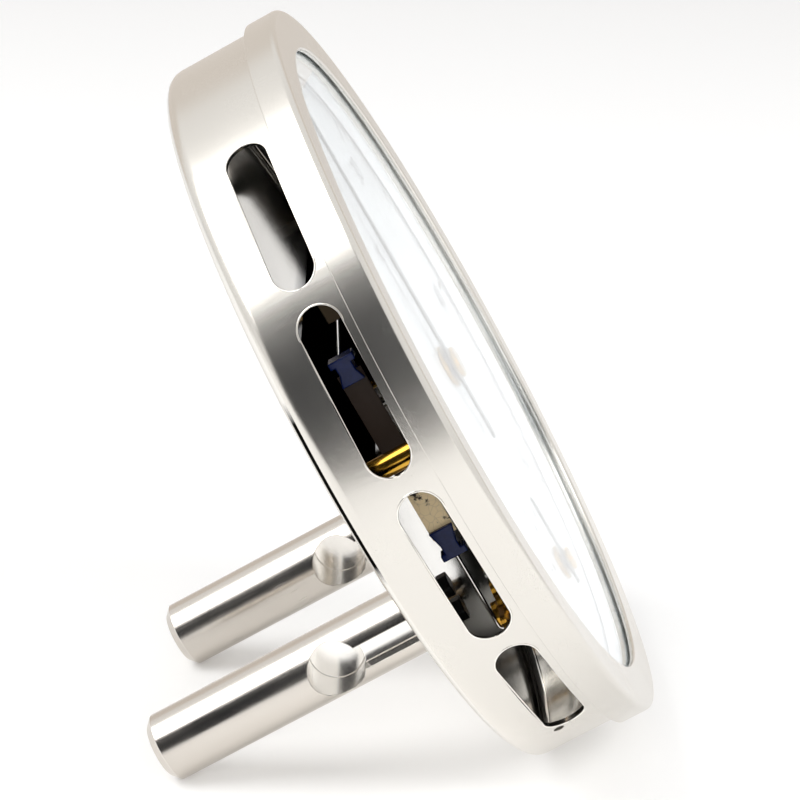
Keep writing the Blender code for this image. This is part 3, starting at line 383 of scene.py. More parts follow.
# Legs. Two lengths of round stainless bar, finely turned, standing square to the back of the case. A
# round pocket and a groove from it to the case are milled in the left side of each, for a headed pin.
LEG_RADIUS, LEG_X, LEG_Y = 5.35, 22.5, -24.9
LEG_TOP, LEG_FOOT, LEG_CHAMFER = -14.7, -61.907, 1.2
POCKET_RADIUS, POCKET_HEIGHT, POCKET_FLOOR = 4.2, -31.9, 2.864
GROOVE_WIDTH, GROOVE_FLOOR = 3.7, -2.1
# Turning marks are 0.1 mm apart on the real bar, drawn at 0.25 mm and long, as the bar's bright streaks are
turned_stainless = worked_metal(
    "fine_turned_stainless", "#CFC9C1", 0.22, 0.25, 0.004, stretch=(1.0, 1.0, 0.03), spread=0.35
)
milled_stainless = worked_metal("milled_stainless", "#F4F1EC", 0.2, 0.3, 0.002, stretch=(1.0, 0.1, 1.0))
for side, x in (("left", -LEG_X), ("right", LEG_X)):
    bar = turned(
        f"leg_{side}_bar",
        [
            (0.0, LEG_TOP, 0.0),
            (LEG_RADIUS, LEG_TOP, 0.0),
            (LEG_RADIUS, LEG_FOOT + LEG_CHAMFER, 0.25),
            (LEG_RADIUS - LEG_CHAMFER, LEG_FOOT, 0.0),
            (0.0, LEG_FOOT, 0.0),
        ],
        steps=128,
    )
    pocket = rod(
        f"pocket_{side}",
        POCKET_RADIUS,
        (-2 * LEG_RADIUS, 0.0, POCKET_HEIGHT),
        (POCKET_FLOOR, 0.0, POCKET_HEIGHT),
        steps=96,
    )
    groove = slab(
        f"groove_{side}",
        [
            (-2 * LEG_RADIUS, -GROOVE_WIDTH / 2),
            (GROOVE_FLOOR, -GROOVE_WIDTH / 2),
            (GROOVE_FLOOR, GROOVE_WIDTH / 2),
            (-2 * LEG_RADIUS, GROOVE_WIDTH / 2),
        ],
        POCKET_HEIGHT,
        0.0,
    )
    bar = cut(bar, [pocket, groove])
    bar.materials.clear()
    for look in (turned_stainless, milled_stainless):
        bar.materials.append(look)
    for face in bar.polygons:
        centre = face.center / MM
        outside = math.hypot(centre.x, centre.y) > LEG_RADIUS - 0.02
        face.material_index = 0 if outside or centre.z < LEG_FOOT + LEG_CHAMFER else 1
    fit(f"leg_{side}_bar", bar, None, "case", [f"leg_{side}"], (x, LEG_Y), soften=0.12)

# Leg screws. Two blacked hex screws for each leg, put in from inside the case through its back, so that
# the bar can't turn. Their heads show as dark points through the lower vent slots.
HEX_FLATS, HEX_BACK, HEX_FRONT = 3.4, -13.3, -11.6
SCREW_RADIUS, SCREW_TIP, SCREW_SPACING = 1.1, -21.7, 4.2
blacked_steel, tree, shader, place = surface("blacked_steel", "#151517", 0.32, 0.55)
oxide = noise(tree, place, 0.4, 4.0)
tree.links.new(rescale(tree, oxide, 0.3, 0.7, 0.25, 0.45), shader.inputs["Roughness"])
emboss(tree, shader, oxide, 0.01, 0.4)
hex_corner = HEX_FLATS / math.sqrt(3)
hex_turns = [math.tau * step / 6 for step in range(6)]
hexagon = [(hex_corner * math.cos(turn), hex_corner * math.sin(turn)) for turn in hex_turns]
for side, x in (("left", -LEG_X), ("right", LEG_X)):
    for row, y in (("upper", SCREW_SPACING / 2), ("lower", -SCREW_SPACING / 2)):
        head = slab(f"leg_screw_{side}_{row}_head", hexagon, HEX_BACK, HEX_FRONT)
        shape = bmesh.new()
        shape.from_mesh(head)
        shape.from_mesh(
            turned(
                "shank",
                [
                    (0.0, HEX_BACK, 0.0),
                    (SCREW_RADIUS, HEX_BACK, 0.0),
                    (SCREW_RADIUS, SCREW_TIP, 0.2),
                    (0.0, SCREW_TIP, 0.0),
                ],
                steps=32,
            )
        )
        fit(
            f"leg_screw_{side}_{row}_head",
            kept(shape, f"leg_screw_{side}_{row}_head"),
            blacked_steel,
            "case",
            [f"leg_screw_{side}_{row}"],
            (x, LEG_Y + y),
            soften=0.22,
        )

# Pillars. Three turned brass posts riveted flush into the back of the case, which hold the dial off it.
# Their front ends take the dial screws, which the spacer ring hides.
PILLAR_RADIUS, PILLAR_CIRCLE, PILLAR_FRONT = 1.6, 53.0, -1.6
RIVET_RADIUS = 1.0
turned_brass = worked_metal("turned_brass", "#C99A3C", 0.17, 0.3, 0.003, stretch=(1.0, 1.0, 3.0))
for name, angle in (("left", 173.0), ("right", 7.0), ("top", 90.0)):
    turn = math.radians(angle)
    fit(
        f"pillar_{name}_post",
        turned(
            f"pillar_{name}_post",
            [
                (0.0, PILLAR_FRONT, 0.0),
                (PILLAR_RADIUS, PILLAR_FRONT, 0.2),
                (PILLAR_RADIUS, BACK_INNER + 0.3, 0.2),
                (RIVET_RADIUS, BACK_INNER + 0.3, 0.0),
                (RIVET_RADIUS, BACK_OUTER, 0.0),
                (0.0, BACK_OUTER, 0.0),
            ],
            steps=48,
        ),
        turned_brass,
        "case",
        [f"pillar_{name}"],
        (PILLAR_CIRCLE * math.cos(turn), PILLAR_CIRCLE * math.sin(turn)),
    )

# Zero adjuster. A slotted brass stud riveted through the middle of the back. It turns the wire that
# anchors the bimetal coil, to set the reading.
STUD_HEAD, STUD_NECK, STUD_SLOT_WIDTH, STUD_SLOT_DEPTH = 4.5, 2.7, 0.5, 0.3
STUD_OUTER, STUD_SEAT, STUD_FLANGE_BACK, STUD_FLANGE_FRONT = -15.9, -14.7, -13.3, -12.1
PIVOT_RADIUS, PIVOT_FLOOR = 1.1, -13.6
stud = turned(
    "zero_adjuster_stud",
    [
        (0.0, PIVOT_FLOOR, 0.0),
        (PIVOT_RADIUS, PIVOT_FLOOR, 0.0),
        (PIVOT_RADIUS, STUD_FLANGE_FRONT, 0.0),
        (STUD_HEAD, STUD_FLANGE_FRONT, 0.2),
        (STUD_HEAD, STUD_FLANGE_BACK, 0.0),
        (STUD_NECK, STUD_FLANGE_BACK, 0.0),
        (STUD_NECK, STUD_SEAT, 0.0),
        (STUD_HEAD, STUD_SEAT, 0.1),
        (STUD_HEAD, STUD_OUTER, 0.35),
        (0.0, STUD_OUTER, 0.0),
    ],
)
half = STUD_SLOT_WIDTH / 2
slot = slab(
    "stud_slot",
    [(-9.0, -half), (9.0, -half), (9.0, half), (-9.0, half)],
    STUD_OUTER - 1.0,
    STUD_OUTER + STUD_SLOT_DEPTH,
)
fit(
    "zero_adjuster_stud",
    cut(stud, [slot]),
    turned_brass,
    "temp_adjuster",
    ["zero_adjuster"],
)


def dress(look, *nodes):
    """Gives CAD nodes that stay as they are their finished material."""
    for name in nodes:
        obj = frame["nodes"][name]
        for place in obj.material_slots:
            place.material = look


dress(turned_brass, "coil_anchor")

# Springs. The bimetal coil that turns the temperature hand and the hairspring of the humidity hand, both
# wound from bright rolled strip, with the steel arbors that carry them and the screws of the movement.
rolled_strip = worked_metal("rolled_bimetal_strip", "#A89A82", 0.28, 0.4, 0.003, stretch=(1.0, 1.0, 8.0))
bright_steel = worked_metal("bright_turned_steel", "#D8D6D2", 0.14, 0.25, 0.002, stretch=(1.0, 1.0, 4.0))
dress(rolled_strip, "bimetal_coil", "hairspring")
dress(bright_steel, "temp_arbor", "humid_arbor", "cock_screw", "hanger_screw")
dress(bright_steel, "dial_screw_left", "dial_screw_right", "dial_screw_top")

# Humidity movement. A brass sector lever on a post behind the dial, and the cock that carries the rear
# pivot of the humidity arbor. Stamped from sheet, left with its rolling marks.
rolled_brass = worked_metal("rolled_brass_sheet", "#C2933A", 0.24, 0.5, 0.004, stretch=(0.15, 1.0, 1.0))
dress(rolled_brass, "sector_lever", "humid_cock", "lever_collar")
dress(turned_brass, "lever_post", "cock_post", "hairspring_stud")

# Humidity strip. A hanging strip of hygroscopic membrane that grows with damp air. It is beige, stained
# dark brown in patches, with fine cracks across it, and painted shade spreads the brown over most of its
# upper half.
STRIP_X, STRIP_Z = -46.0, -5.1
STRIP_TOP, STRIP_BOTTOM, STRIP_WIDTH, STRIP_THICKNESS = 18.6, -8.2, 3.6, 0.4
# Painted shade: between these heights in mm the brown patches spread until they cover the strip's upper
# part
PAINTED_SHADE_FROM, PAINTED_SHADE_FULL, CRACK_SPACING = 0.0, 7.0, 1.1
MEMBRANE_BEIGE, MEMBRANE_BROWN = "#FFE6B8", "#2A1D14"
membrane, tree, shader, place = surface("stained_and_shade_painted_membrane", MEMBRANE_BEIGE, 0.62)
blots = noise(tree, place, 2.2, 5.0, roughness=0.62)
height = add(tree, "ShaderNodeSeparateXYZ", {"Vector": place})
# Painted shade added to the real stains: the brown grows towards the top of the strip
painted_shade_climb = rescale(tree, height.outputs["Y"], PAINTED_SHADE_FROM * MM, PAINTED_SHADE_FULL * MM, -0.08, 0.45)
stains_plus_shade = combine(tree, "ADD", blots, painted_shade_climb)
stain_and_shade = rescale(tree, stains_plus_shade, 0.5, 0.56, interpolation_type="SMOOTHSTEP")
cells = add(
    tree,
    "ShaderNodeTexVoronoi",
    {"Vector": place, "Scale": 1.0 / (CRACK_SPACING * MM)},
    feature="DISTANCE_TO_EDGE",
)
crack = rescale(tree, cells.outputs["Distance"], 0.0, 0.03, 0.35, 0.0)
shade_between(tree, shader, combine(tree, "MAXIMUM", stain_and_shade, crack), MEMBRANE_BEIGE, MEMBRANE_BROWN)
emboss(tree, shader, blots, 0.15, 0.5)
half_width, half_thick = STRIP_WIDTH / 2, STRIP_THICKNESS / 2
stand_on_edge = Matrix(((0.0, 0.0, 1.0), (1.0, 0.0, 0.0), (0.0, 1.0, 0.0))).to_4x4()
stand_on_edge.translation = (0.0, 0.0, STRIP_Z * MM)
fit(
    "humidity_strip",
    slab(
        "humidity_strip",
        [
            (STRIP_BOTTOM, -half_width),
            (STRIP_TOP, -half_width),
            (STRIP_TOP, half_width),
            (STRIP_BOTTOM, half_width),
        ],
        -half_thick,
        half_thick,
        stand_on_edge,
    ),
    membrane,
    "case",
    ["hygro_strip"],
    (STRIP_X, 0.0),
    soften=0.08,
)

# Clips. Two glossy navy mouldings with a slit that grips the end of the strip, narrowing to a waist
# before a wider lip. The upper one is fixed, and the lower one moves with the strip's length.
CLIP_THICKNESS, CLIP_SLIT = 2.6, 1.0
CLIP_GRIP, CLIP_END, CLIP_LIP = 1.5, 2.2, 1.0
CLIP_WAIST_WIDTH, CLIP_LIP_WIDTH = 2.4, 3.8
moulded_navy, tree, shader, place = surface("navy_moulded_abs", "#0F1B42", 0.16)
shader.inputs["Specular IOR Level"].default_value = 0.2
flow = noise(tree, place, 0.9, 3.0)
shade_between(tree, shader, flow, "#0A1433", "#142152")
emboss(tree, shader, flow, 0.02, 0.4)
for name, strip_end, slit_end, outward, body in (
    ("upper_clip", STRIP_TOP, STRIP_TOP + 0.3, 1, "case"),
    ("lower_clip", STRIP_BOTTOM, STRIP_BOTTOM - 0.9, -1, "strip_end"),
):
    mouth = strip_end - outward * CLIP_GRIP
    tip = slit_end + outward * CLIP_END
    neck = tip - outward * CLIP_LIP
    edge = [
        (mouth, STRIP_WIDTH / 2),
        (slit_end, CLIP_WAIST_WIDTH / 2),
        (neck, CLIP_WAIST_WIDTH / 2),
        (neck, CLIP_LIP_WIDTH / 2),
        (tip, CLIP_LIP_WIDTH / 2),
    ]
    outline = edge + [(along, -width) for along, width in reversed(edge)]
    block = slab(f"{name}_moulding", outline, -CLIP_THICKNESS / 2, CLIP_THICKNESS / 2, stand_on_edge)
    far = mouth - outward * CLIP_GRIP
    slit = slab(
        f"{name}_slit",
        [(slit_end, -3.0), (far, -3.0), (far, 3.0), (slit_end, 3.0)],
        -CLIP_SLIT / 2,
        CLIP_SLIT / 2,
        stand_on_edge,
    )
    fit(
        f"{name}_moulding",
        cut(block, [slit]),
        moulded_navy,
        body,
        [name],
        (STRIP_X, 0.0),
        soften=0.18,
    )

# Hanger and link. Thin bright wires: one from the upper clip to a brass block behind the dial, and one
# from the lower clip, hooked through the eye of the sector lever.
HANGER_RADIUS, HANGER_LOW, HANGER_HIGH = 0.25, 21.4, 25.7
BLOCK_LOW, BLOCK_HIGH, BLOCK_WIDTH = 26.0, 29.4, 3.2
BLOCK_BACK, BLOCK_FRONT = -4.0, -1.6
TAP_RADIUS, TAP_DEPTH = 0.9, 2.0
LINK_RADIUS, LINK_TOP, LINK_FRONT, LINK_BEND = 0.3, -11.6, -3.3, 0.6
LEVER_HEIGHT = -24.0


def drawn_wire(name, points, radius, body, node):
    """A bright wire through points in millimetres, beside the strip."""
    curve = bpy.data.curves.new(name, "CURVE")
    curve.dimensions = "3D"
    curve.bevel_depth = radius * MM
    curve.bevel_resolution = 4
    curve.use_fill_caps = True
    line = curve.splines.new("POLY")
    line.points.add(len(points) - 1)
    for point, place in zip(line.points, points):
        point.co = (*(Vector(place) * MM), 1.0)
    fit(name, curve, bright_steel, body, [node], (STRIP_X, 0.0))


block_middle = (BLOCK_BACK + BLOCK_FRONT) / 2
drawn_wire(
    "hanger_wire_drawn",
    [(0.0, HANGER_LOW, STRIP_Z), (0.0, HANGER_HIGH, block_middle)],
    HANGER_RADIUS,
    "case",
    "hanger_wire",
)
drawn_wire(
    "strip_link_drawn",
    [(0.0, LINK_TOP, STRIP_Z), (0.0, LEVER_HEIGHT + LINK_BEND, STRIP_Z)]
    + [
        (
            0.0,
            LEVER_HEIGHT + LINK_BEND * (1 - math.sin(turn)),
            STRIP_Z + LINK_BEND * (1 - math.cos(turn)),
        )
        for turn in (math.pi / 8, math.pi / 4, 3 * math.pi / 8)
    ]
    + [(0.0, LEVER_HEIGHT, STRIP_Z + LINK_BEND), (0.0, LEVER_HEIGHT, LINK_FRONT)],
    LINK_RADIUS,
    "strip_end",
    "strip_link",
)
half = BLOCK_WIDTH / 2
hanger_block = slab(
    "hanger_block_milled",
    [(-half, BLOCK_LOW), (half, BLOCK_LOW), (half, BLOCK_HIGH), (-half, BLOCK_HIGH)],
    BLOCK_BACK,
    BLOCK_FRONT,
)
tap = rod(
    "hanger_tap",
    TAP_RADIUS,
    (0.0, BLOCK_HIGH - TAP_DEPTH, block_middle),
    (0.0, BLOCK_HIGH + 1.0, block_middle),
    32,
)
blackened_brass = worked_metal("blackened_brass", "#2C251C", 0.38, 0.4, 0.003)
fit(
    "hanger_block_milled",
    cut(hanger_block, [tap]),
    blackened_brass,
    "case",
    ["hanger_block"],
    (STRIP_X, 0.0),
    soften=0.15,
)

# Dial. A thin aluminium plate, white lacquer on its face and near-black on its back, screwed to the
# pillars.
# It has a hole for each bush.
DIAL_RADIUS, DIAL_FRONT, DIAL_BACK = 56.9, -0.5, -1.3
HUMID_Y = -36.0
white_lacquer, tree, shader, place = surface("white_dial_lacquer", "#FAFAFC", 0.38)
shader.inputs["IOR"].default_value = 1.5
orange_peel = noise(tree, place, 1.6, 2.0)
shade_between(tree, shader, orange_peel, "#F8F8FB", "#FCFCFD")
emboss(tree, shader, orange_peel, 0.01, 0.3)
near_black_dial_back, tree, shader, place = surface("dark_dial_back_colour", "#131110", 0.45)
shade_between(tree, shader, noise(tree, place, 0.8, 3.0), "#0E0C0B", "#1A1715")
dial_mesh = cut(
    turned(
        "dial_face",
        [
            (2.7, DIAL_FRONT, 0.0),
            (DIAL_RADIUS, DIAL_FRONT, 0.1),
            (DIAL_RADIUS, DIAL_BACK, 0.1),
            (2.7, DIAL_BACK, 0.0),
        ],
        steps=144,
        ring=True,
    ),
    [rod("humid_hole", 2.2, (0.0, HUMID_Y, -3.0), (0.0, HUMID_Y, 1.0), 32)],
)
dial_mesh.materials.clear()
for look in (white_lacquer, near_black_dial_back):
    dial_mesh.materials.append(look)
for face in dial_mesh.polygons:
    face.material_index = 0 if face.normal.z > 0.3 else 1
fit("dial_face", dial_mesh, None, "case", ["dial_plate"])

# Dial print. Screen-printed scales in black ink, a thin film on the lacquer: degrees from -10 to 50 over
# 270 degrees, and a small humidity scale from 0 to 100 below the middle.
INK_FILM = 0.03
SCALE_RADIUS, SCALE_LOW, SCALE_HIGH, SCALE_SWEEP = 49.6, -10, 50, 270.0
NUMERAL_RADIUS, NUMERAL_SIZE = 38.6, 6.4
SMALL_RADIUS, SMALL_SWEEP = 13.4, 240.0
SMALL_NUMERAL_RADIUS, SMALL_NUMERAL_SIZE = 8.6, 2.1
printed_ink, tree, shader, place = surface("screen_print_ink", "#16171C", 0.5)
shade_between(tree, shader, noise(tree, place, 0.3, 2.0), "#121318", "#1F2128")
ink = bmesh.new()


def stamp(outline):
    """Prints one closed shape of (x, y) in millimetres on the dial."""
    mesh = slab("stamp", outline, DIAL_FRONT, DIAL_FRONT + INK_FILM)
    ink.from_mesh(mesh)
    bpy.data.meshes.remove(mesh)


def tick(middle, outer, length, width, angle):
    """Prints one radial line, with its angle clockwise from the top of the dial."""
    way = Vector((math.sin(angle), math.cos(angle)))
    side = Vector((way.y, -way.x)) * width / 2
    middle = Vector(middle)
    ends = (middle + way * (outer - length), middle + way * outer)
    stamp([(ends[0] - side)[:], (ends[0] + side)[:], (ends[1] + side)[:], (ends[1] - side)[:]])


def ring_arc(middle, radius, width, sweep):
    """Prints the line that the ticks stand on."""
    for step in range(round(sweep / 3)):
        first, last = (math.radians(-sweep / 2 + 3 * (step + more)) for more in (0, 1))
        corners = ((radius, first), (radius, last), (radius - width, last), (radius - width, first))
        stamp([(middle[0] + r * math.sin(a), middle[1] + r * math.cos(a)) for r, a in corners])


def numeral(words, size, x, y):
    """Prints a number centred on a point."""
    text = bpy.data.curves.new("numeral", "FONT")
    text.body = words
    text.size = size * MM
    text.align_x, text.align_y = "CENTER", "CENTER"
    text.extrude = INK_FILM * MM / 2
    text.resolution_u = 4
    guide = bpy.data.objects.new("numeral", text)
    scene.collection.objects.link(guide)
    bpy.context.view_layer.update()
    mesh = bpy.data.meshes.new_from_object(guide.evaluated_get(bpy.context.evaluated_depsgraph_get()))
    mesh.transform(Matrix.Translation((x * MM, y * MM, (DIAL_FRONT + INK_FILM / 2) * MM)))
    ink.from_mesh(mesh)
    for old in (guide, text, mesh):
        bpy.data.batch_remove([old])


small_middle = (0.0, HUMID_Y)
for degrees in range(SCALE_LOW, SCALE_HIGH + 1):
    part = (degrees - SCALE_LOW) / (SCALE_HIGH - SCALE_LOW) - 0.5
    angle = math.radians(part * SCALE_SWEEP)
    length, width = (4.6, 0.7) if degrees % 10 == 0 else (3.2, 0.4) if degrees % 5 == 0 else (2.1, 0.25)
    tick((0.0, 0.0), SCALE_RADIUS, length, width, angle)
    if degrees % 10 == 0:
        label = str(degrees).replace("-", "−")
        numeral(label, NUMERAL_SIZE, NUMERAL_RADIUS * math.sin(angle), NUMERAL_RADIUS * math.cos(angle))
for damp in range(0, 101, 5):
    angle = math.radians((damp / 100 - 0.5) * SMALL_SWEEP)
    length, width = (2.2, 0.35) if damp % 20 == 0 else (1.3, 0.2)
    tick(small_middle, SMALL_RADIUS, length, width, angle)
    if damp % 20 == 0:
        numeral(
            str(damp),
            SMALL_NUMERAL_SIZE,
            SMALL_NUMERAL_RADIUS * math.sin(angle),
            HUMID_Y + SMALL_NUMERAL_RADIUS * math.cos(angle),
        )
ring_arc((0.0, 0.0), SCALE_RADIUS + 0.2, 0.25, SCALE_SWEEP)
ring_arc(small_middle, SMALL_RADIUS + 0.15, 0.2, SMALL_SWEEP)
numeral("°C", 4.2, 0.0, 20.0)
numeral("%", 2.6, 0.0, HUMID_Y - 7.6)
print_mesh = bpy.data.meshes.new("dial_print")
ink.to_mesh(print_mesh)
ink.free()
print_mesh.materials.clear()
fit("dial_print", print_mesh, printed_ink, "case")

# Bushes. Flanged brass bearings pressed through the dial, one for each hand. Their flanges show as the
# rims of the two brass hubs.
BUSH_FRONT, BUSH_SEAT, BUSH_TAIL = 0.2, -0.2, -2.3
for name, radius, flange, bore, y in (
    ("temp_bush", 2.4, 3.4, 1.1, 0.0),
    ("humid_bush", 1.9, 2.8, 1.0, HUMID_Y),
):
    fit(
        f"{name}_turned",
        turned(
            f"{name}_turned",
            [
                (flange, BUSH_FRONT, 0.12),
                (flange, BUSH_SEAT, 0.0),
                (radius, BUSH_SEAT, 0.0),
                (radius, BUSH_TAIL, 0.0),
                (bore, BUSH_TAIL, 0.0),
                (bore, BUSH_FRONT, 0.0),
            ],
            steps=64,
            ring=True,
        ),
        turned_brass,
        "case",
        [name],
        (0.0, y),
    )

# Hands. Tapered hands pressed from thin sheet and sprayed satin black, each held on its arbor by a small
# turned brass nut.
HAND_BACK, HAND_FRONT = 0.5, 0.9
NUT_BACK, NUT_FRONT = 1.2, 1.8
HUB_STEPS = 16
satin_black, tree, shader, place = surface("satin_black_spray", "#17171A", 0.36)
emboss(tree, shader, noise(tree, place, 0.25, 3.0), 0.008, 0.5)
for name, body, y, length, tail, base, point, hub, nut, bore in (
    ("temp", "temp_pointer", 0.0, 45.0, 13.0, 2.2, 0.7, 3.0, 2.5, 1.1),
    ("humid", "humid_pointer", HUMID_Y, 11.5, 4.0, 1.4, 0.5, 2.2, 1.9, 1.0),
):
    side = math.asin(base / 2 / hub)
    outline = [(point / 2, length), (-point / 2, length)]
    for start, end in (
        (math.pi / 2 + side, 1.5 * math.pi - side),
        (1.5 * math.pi + side, 2.5 * math.pi - side),
    ):
        if start > math.pi:
            outline += [(-base / 2, -tail), (base / 2, -tail)]
        turns = [start + (end - start) * step / HUB_STEPS for step in range(HUB_STEPS + 1)]
        outline += [(hub * math.cos(turn), hub * math.sin(turn)) for turn in turns]
    hand = cut(
        slab(f"{name}_hand_pressed", outline, HAND_BACK, HAND_FRONT),
        [rod(f"{name}_hand_hole", bore, (0.0, 0.0, 0.0), (0.0, 0.0, 2.0), 32)],
    )
    fit(f"{name}_hand_pressed", hand, satin_black, body, [f"{name}_hand"], (0.0, y), soften=0.06)
    fit(
        f"{name}_hand_nut_turned",
        turned(
            f"{name}_hand_nut_turned",
            [(nut, NUT_FRONT, 0.25), (nut, NUT_BACK, 0.1), (bore, NUT_BACK, 0.0), (bore, NUT_FRONT, 0.1)],
            steps=64,
            ring=True,
        ),
        turned_brass,
        body,
        [f"{name}_hand_nut"],
        (0.0, y),
    )

# Spacer ring. A white lacquered ring, sloped towards the scale, that keeps the glass off the dial and
# covers the heads of the dial screws.
SPACER_OUTER, SPACER_FOOT, SPACER_TOP = 56.9, 51.0, 52.4
SPACER_BACK, SPACER_FRONT = -0.2, 1.0
fit(
    "spacer_ring_turned",
    turned(
        "spacer_ring_turned",
        [
            (SPACER_OUTER, SPACER_FRONT, 0.0),
            (SPACER_OUTER, SPACER_BACK, 0.0),
            (SPACER_FOOT, SPACER_BACK, 0.0),
            (SPACER_TOP, SPACER_FRONT, 0.15),
        ],
        steps=192,
        ring=True,
    ),
    white_lacquer,
    "case",
    ["spacer_ring"],
)

# Glass and seal. A flat pane of clear float glass with a pale soft ring behind its edge, which presses
# it against the bezel's lip.
GLASS_RADIUS, GLASS_BACK, GLASS_FRONT = 55.0, 2.2, 3.8
float_glass, tree, shader, place = surface("clear_float_glass", "#F6FAFB", 0.02)
shader.inputs["Transmission Weight"].default_value = 1.0
shader.inputs["IOR"].default_value = 1.5
dust = noise(tree, place, 9.0, 3.0)
tree.links.new(rescale(tree, dust, 0.4, 0.8, 0.0, 0.04), shader.inputs["Roughness"])
rays = add(tree, "ShaderNodeLightPath")
clear = add(tree, "ShaderNodeBsdfTransparent")
pane = add(
    tree,
    "ShaderNodeMixShader",
    {0: rays.outputs["Is Shadow Ray"], 1: shader.outputs[0], 2: clear.outputs[0]},
)
tree.links.new(pane.outputs[0], tree.nodes["Material Output"].inputs["Surface"])
fit(
    "glass_pane",
    turned(
        "glass_pane",
        [
            (0.0, GLASS_FRONT, 0.0),
            (GLASS_RADIUS, GLASS_FRONT, 0.15),
            (GLASS_RADIUS, GLASS_BACK, 0.15),
            (0.0, GLASS_BACK, 0.0),
        ],
        steps=192,
    ),
    float_glass,
    "case",
    ["crystal"],
)
SEAL_INNER, SEAL_BACK, SEAL_FRONT = 52.45, 1.02, 2.18
soft_rubber, tree, shader, place = surface("silicone_rubber", "#F7F7F5", 0.5)
emboss(tree, shader, noise(tree, place, 0.2, 2.0), 0.02, 0.4)
fit(
    "glass_seal_moulded",
    turned(
        "glass_seal_moulded",
        [
            (GLASS_RADIUS, SEAL_FRONT, 0.1),
            (GLASS_RADIUS, SEAL_BACK, 0.1),
            (SEAL_INNER, SEAL_BACK, 0.1),
            (SEAL_INNER, SEAL_FRONT, 0.1),
        ],
        steps=192,
        ring=True,
    ),
    soft_rubber,
    "case",
    ["crystal_seal"],
)

# Bezel. A turned stainless ring pressed over the front edge of the case, with a rounded outer edge and
# a thin lip over the glass, blasted to the same satin as the case.
BEZEL_RADIUS, BEZEL_WINDOW, BEZEL_FRONT = 59.1, 52.2, 4.9
BEZEL_CASE_BORE, BEZEL_CASE_STOP = 58.3, 2.3
BEZEL_GLASS_BORE, BEZEL_LIP_BACK = 55.3, 4.1
fit(
    "bezel_turned",
    turned(
        "bezel_turned",
        [
            (BEZEL_WINDOW, BEZEL_FRONT, 0.35),
            (BEZEL_RADIUS, BEZEL_FRONT, 0.9),
            (BEZEL_RADIUS, 0.0, 0.14),
            (BEZEL_CASE_BORE, 0.0, 0.0),
            (BEZEL_CASE_BORE, BEZEL_CASE_STOP, 0.0),
            (BEZEL_GLASS_BORE, BEZEL_CASE_STOP, 0.0),
            (BEZEL_GLASS_BORE, BEZEL_LIP_BACK, 0.0),
            (BEZEL_WINDOW, BEZEL_LIP_BACK, 0.1),
        ],
        steps=288,
        ring=True,
    ),
    satin_stainless,
    "case",
    ["bezel_ring"],
)

# Stage. A pale table that stays white to the camera and keeps the shadow, a white room, one large soft
# box up behind the instrument with two fills in front and at the side, and dark and warm cards that
# only the metal's reflections see.
FLOOR_WIDTH = 8.0
TABLE_LIFT, ROOM_LIGHT = 0.12, 0.45
LAMP_WIDTH, LAMP_HEIGHT, LAMP_AIM = 0.9, 0.7, Vector((0.0, 0.0, 0.05))


def background_rays(tree):
    """One for the rays that show the background: from the camera, mirrored, or through glass."""
    rays = add(tree, "ShaderNodeLightPath").outputs
    seen = combine(tree, "MAXIMUM", rays["Is Camera Ray"], rays["Is Glossy Ray"])
    return combine(tree, "MAXIMUM", seen, rays["Is Transmission Ray"])


table_paint, tree, shader, place = surface("white_table_paint", "#FDFDFD", 0.55)
emboss(tree, shader, noise(tree, place, 3.0, 2.0), 0.02, 0.2)
lift = combine(tree, "MULTIPLY", background_rays(tree), TABLE_LIFT)
tree.links.new(lift, shader.inputs["Emission Strength"])
shader.inputs["Emission Color"].default_value = linear("#FFFFFF")


def board(name, look, corners, only_reflections):
    """A flat board through four corners in metres."""
    mesh = bpy.data.meshes.new(name)
    mesh.from_pydata(corners, [], [(0, 1, 2, 3)])
    mesh.materials.append(look)
    obj = bpy.data.objects.new(name, mesh)
    scene.collection.objects.link(obj)
    if only_reflections:
        obj.visible_camera = False
        obj.visible_diffuse = False
        obj.visible_transmission = False
        obj.visible_shadow = False


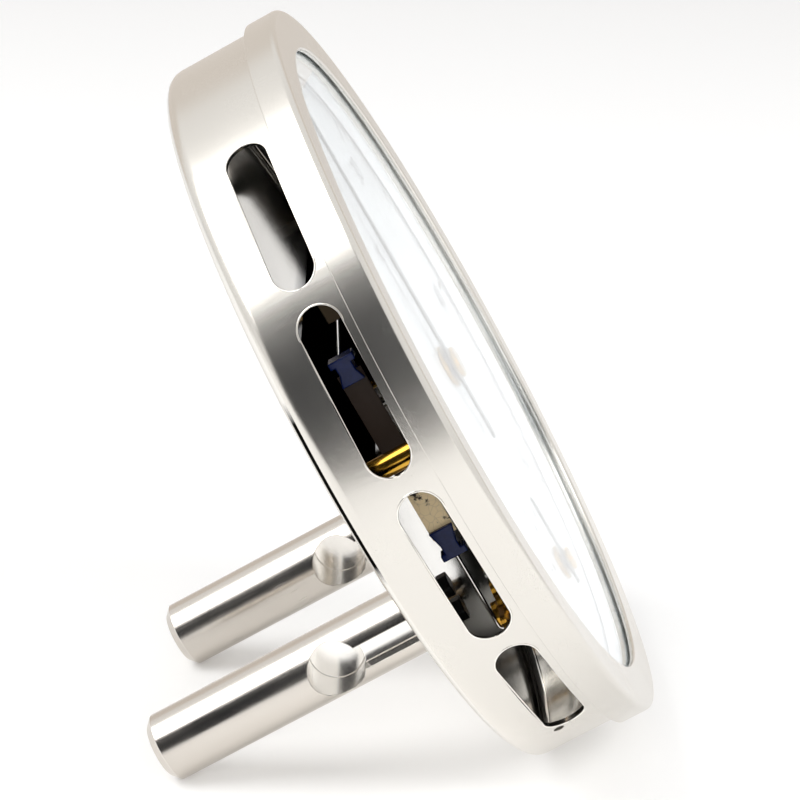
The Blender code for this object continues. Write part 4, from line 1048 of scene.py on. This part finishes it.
half = FLOOR_WIDTH / 2
board("table", table_paint, [(-half, -half, 0), (half, -half, 0), (half, half, 0), (-half, half, 0)], False)
for name, code, corners in (
    (
        "dark_card_side",
        "#12151B",
        [(-1.3, 0.12, 0.0), (-1.3, 1.7, 0.0), (-1.3, 1.7, 1.9), (-1.3, 0.12, 1.9)],
    ),
    (
        "brown_card_low",
        "#5E554D",
        [(-1.3, 0.03, 0.004), (-0.6, 0.03, 0.004), (-0.6, 1.7, 0.004), (-1.3, 1.7, 0.004)],
    ),
    (
        "warm_card_far",
        "#E6DED6",
        [(1.2, -1.6, 0.0), (1.2, 1.6, 0.0), (1.2, 1.6, 0.9), (1.2, -1.6, 0.9)],
    ),
):
    card, _, shader, _ = surface(name, code, 0.9)
    shader.inputs["Base Color"].default_value = linear("#000000")
    shader.inputs["Emission Color"].default_value = linear(code)
    shader.inputs["Emission Strength"].default_value = 1.0
    board(name, card, corners, True)

room = bpy.data.worlds.new("white_room")
scene.world = room
room.use_nodes = True
tree = room.node_tree
backdrop = tree.nodes["Background"]
backdrop.inputs["Color"].default_value = linear("#FFFFFF")
level = rescale(tree, background_rays(tree), 0.0, 1.0, ROOM_LIGHT, 1.0)
tree.links.new(level, backdrop.inputs["Strength"])

for name, energy, place, mirrored in (
    ("soft_box", 7.0, (-0.2, 0.75, 0.9), True),
    ("front_fill", 7.5, (-0.5, -0.8, 0.7), False),
    ("side_fill", 4.5, (-1.1, 0.1, 0.45), False),
):
    light = bpy.data.lights.new(name, "AREA")
    light.shape = "RECTANGLE"
    light.size, light.size_y = LAMP_WIDTH, LAMP_HEIGHT
    light.energy = energy
    lamp = bpy.data.objects.new(name, light)
    lamp.location = place
    lamp.rotation_euler = (LAMP_AIM - lamp.location).to_track_quat("-Z", "Y").to_euler()
    lamp.visible_glossy = mirrored
    scene.collection.objects.link(lamp)

# Camera. It stands at the photograph's place, on the left side and a little above the case, fitted to
# the case, slots and legs that the photograph shows.
lens = bpy.data.cameras.new("camera")
lens.lens, lens.sensor_width = 135.245, 36.0
camera = bpy.data.objects.new("camera", lens)
camera.location = (-0.43317, 0.00732, 0.18697)
camera.rotation_euler = (math.radians(72.677), math.radians(-0.788), math.radians(-90.562))
scene.collection.objects.link(camera)
scene.camera = camera
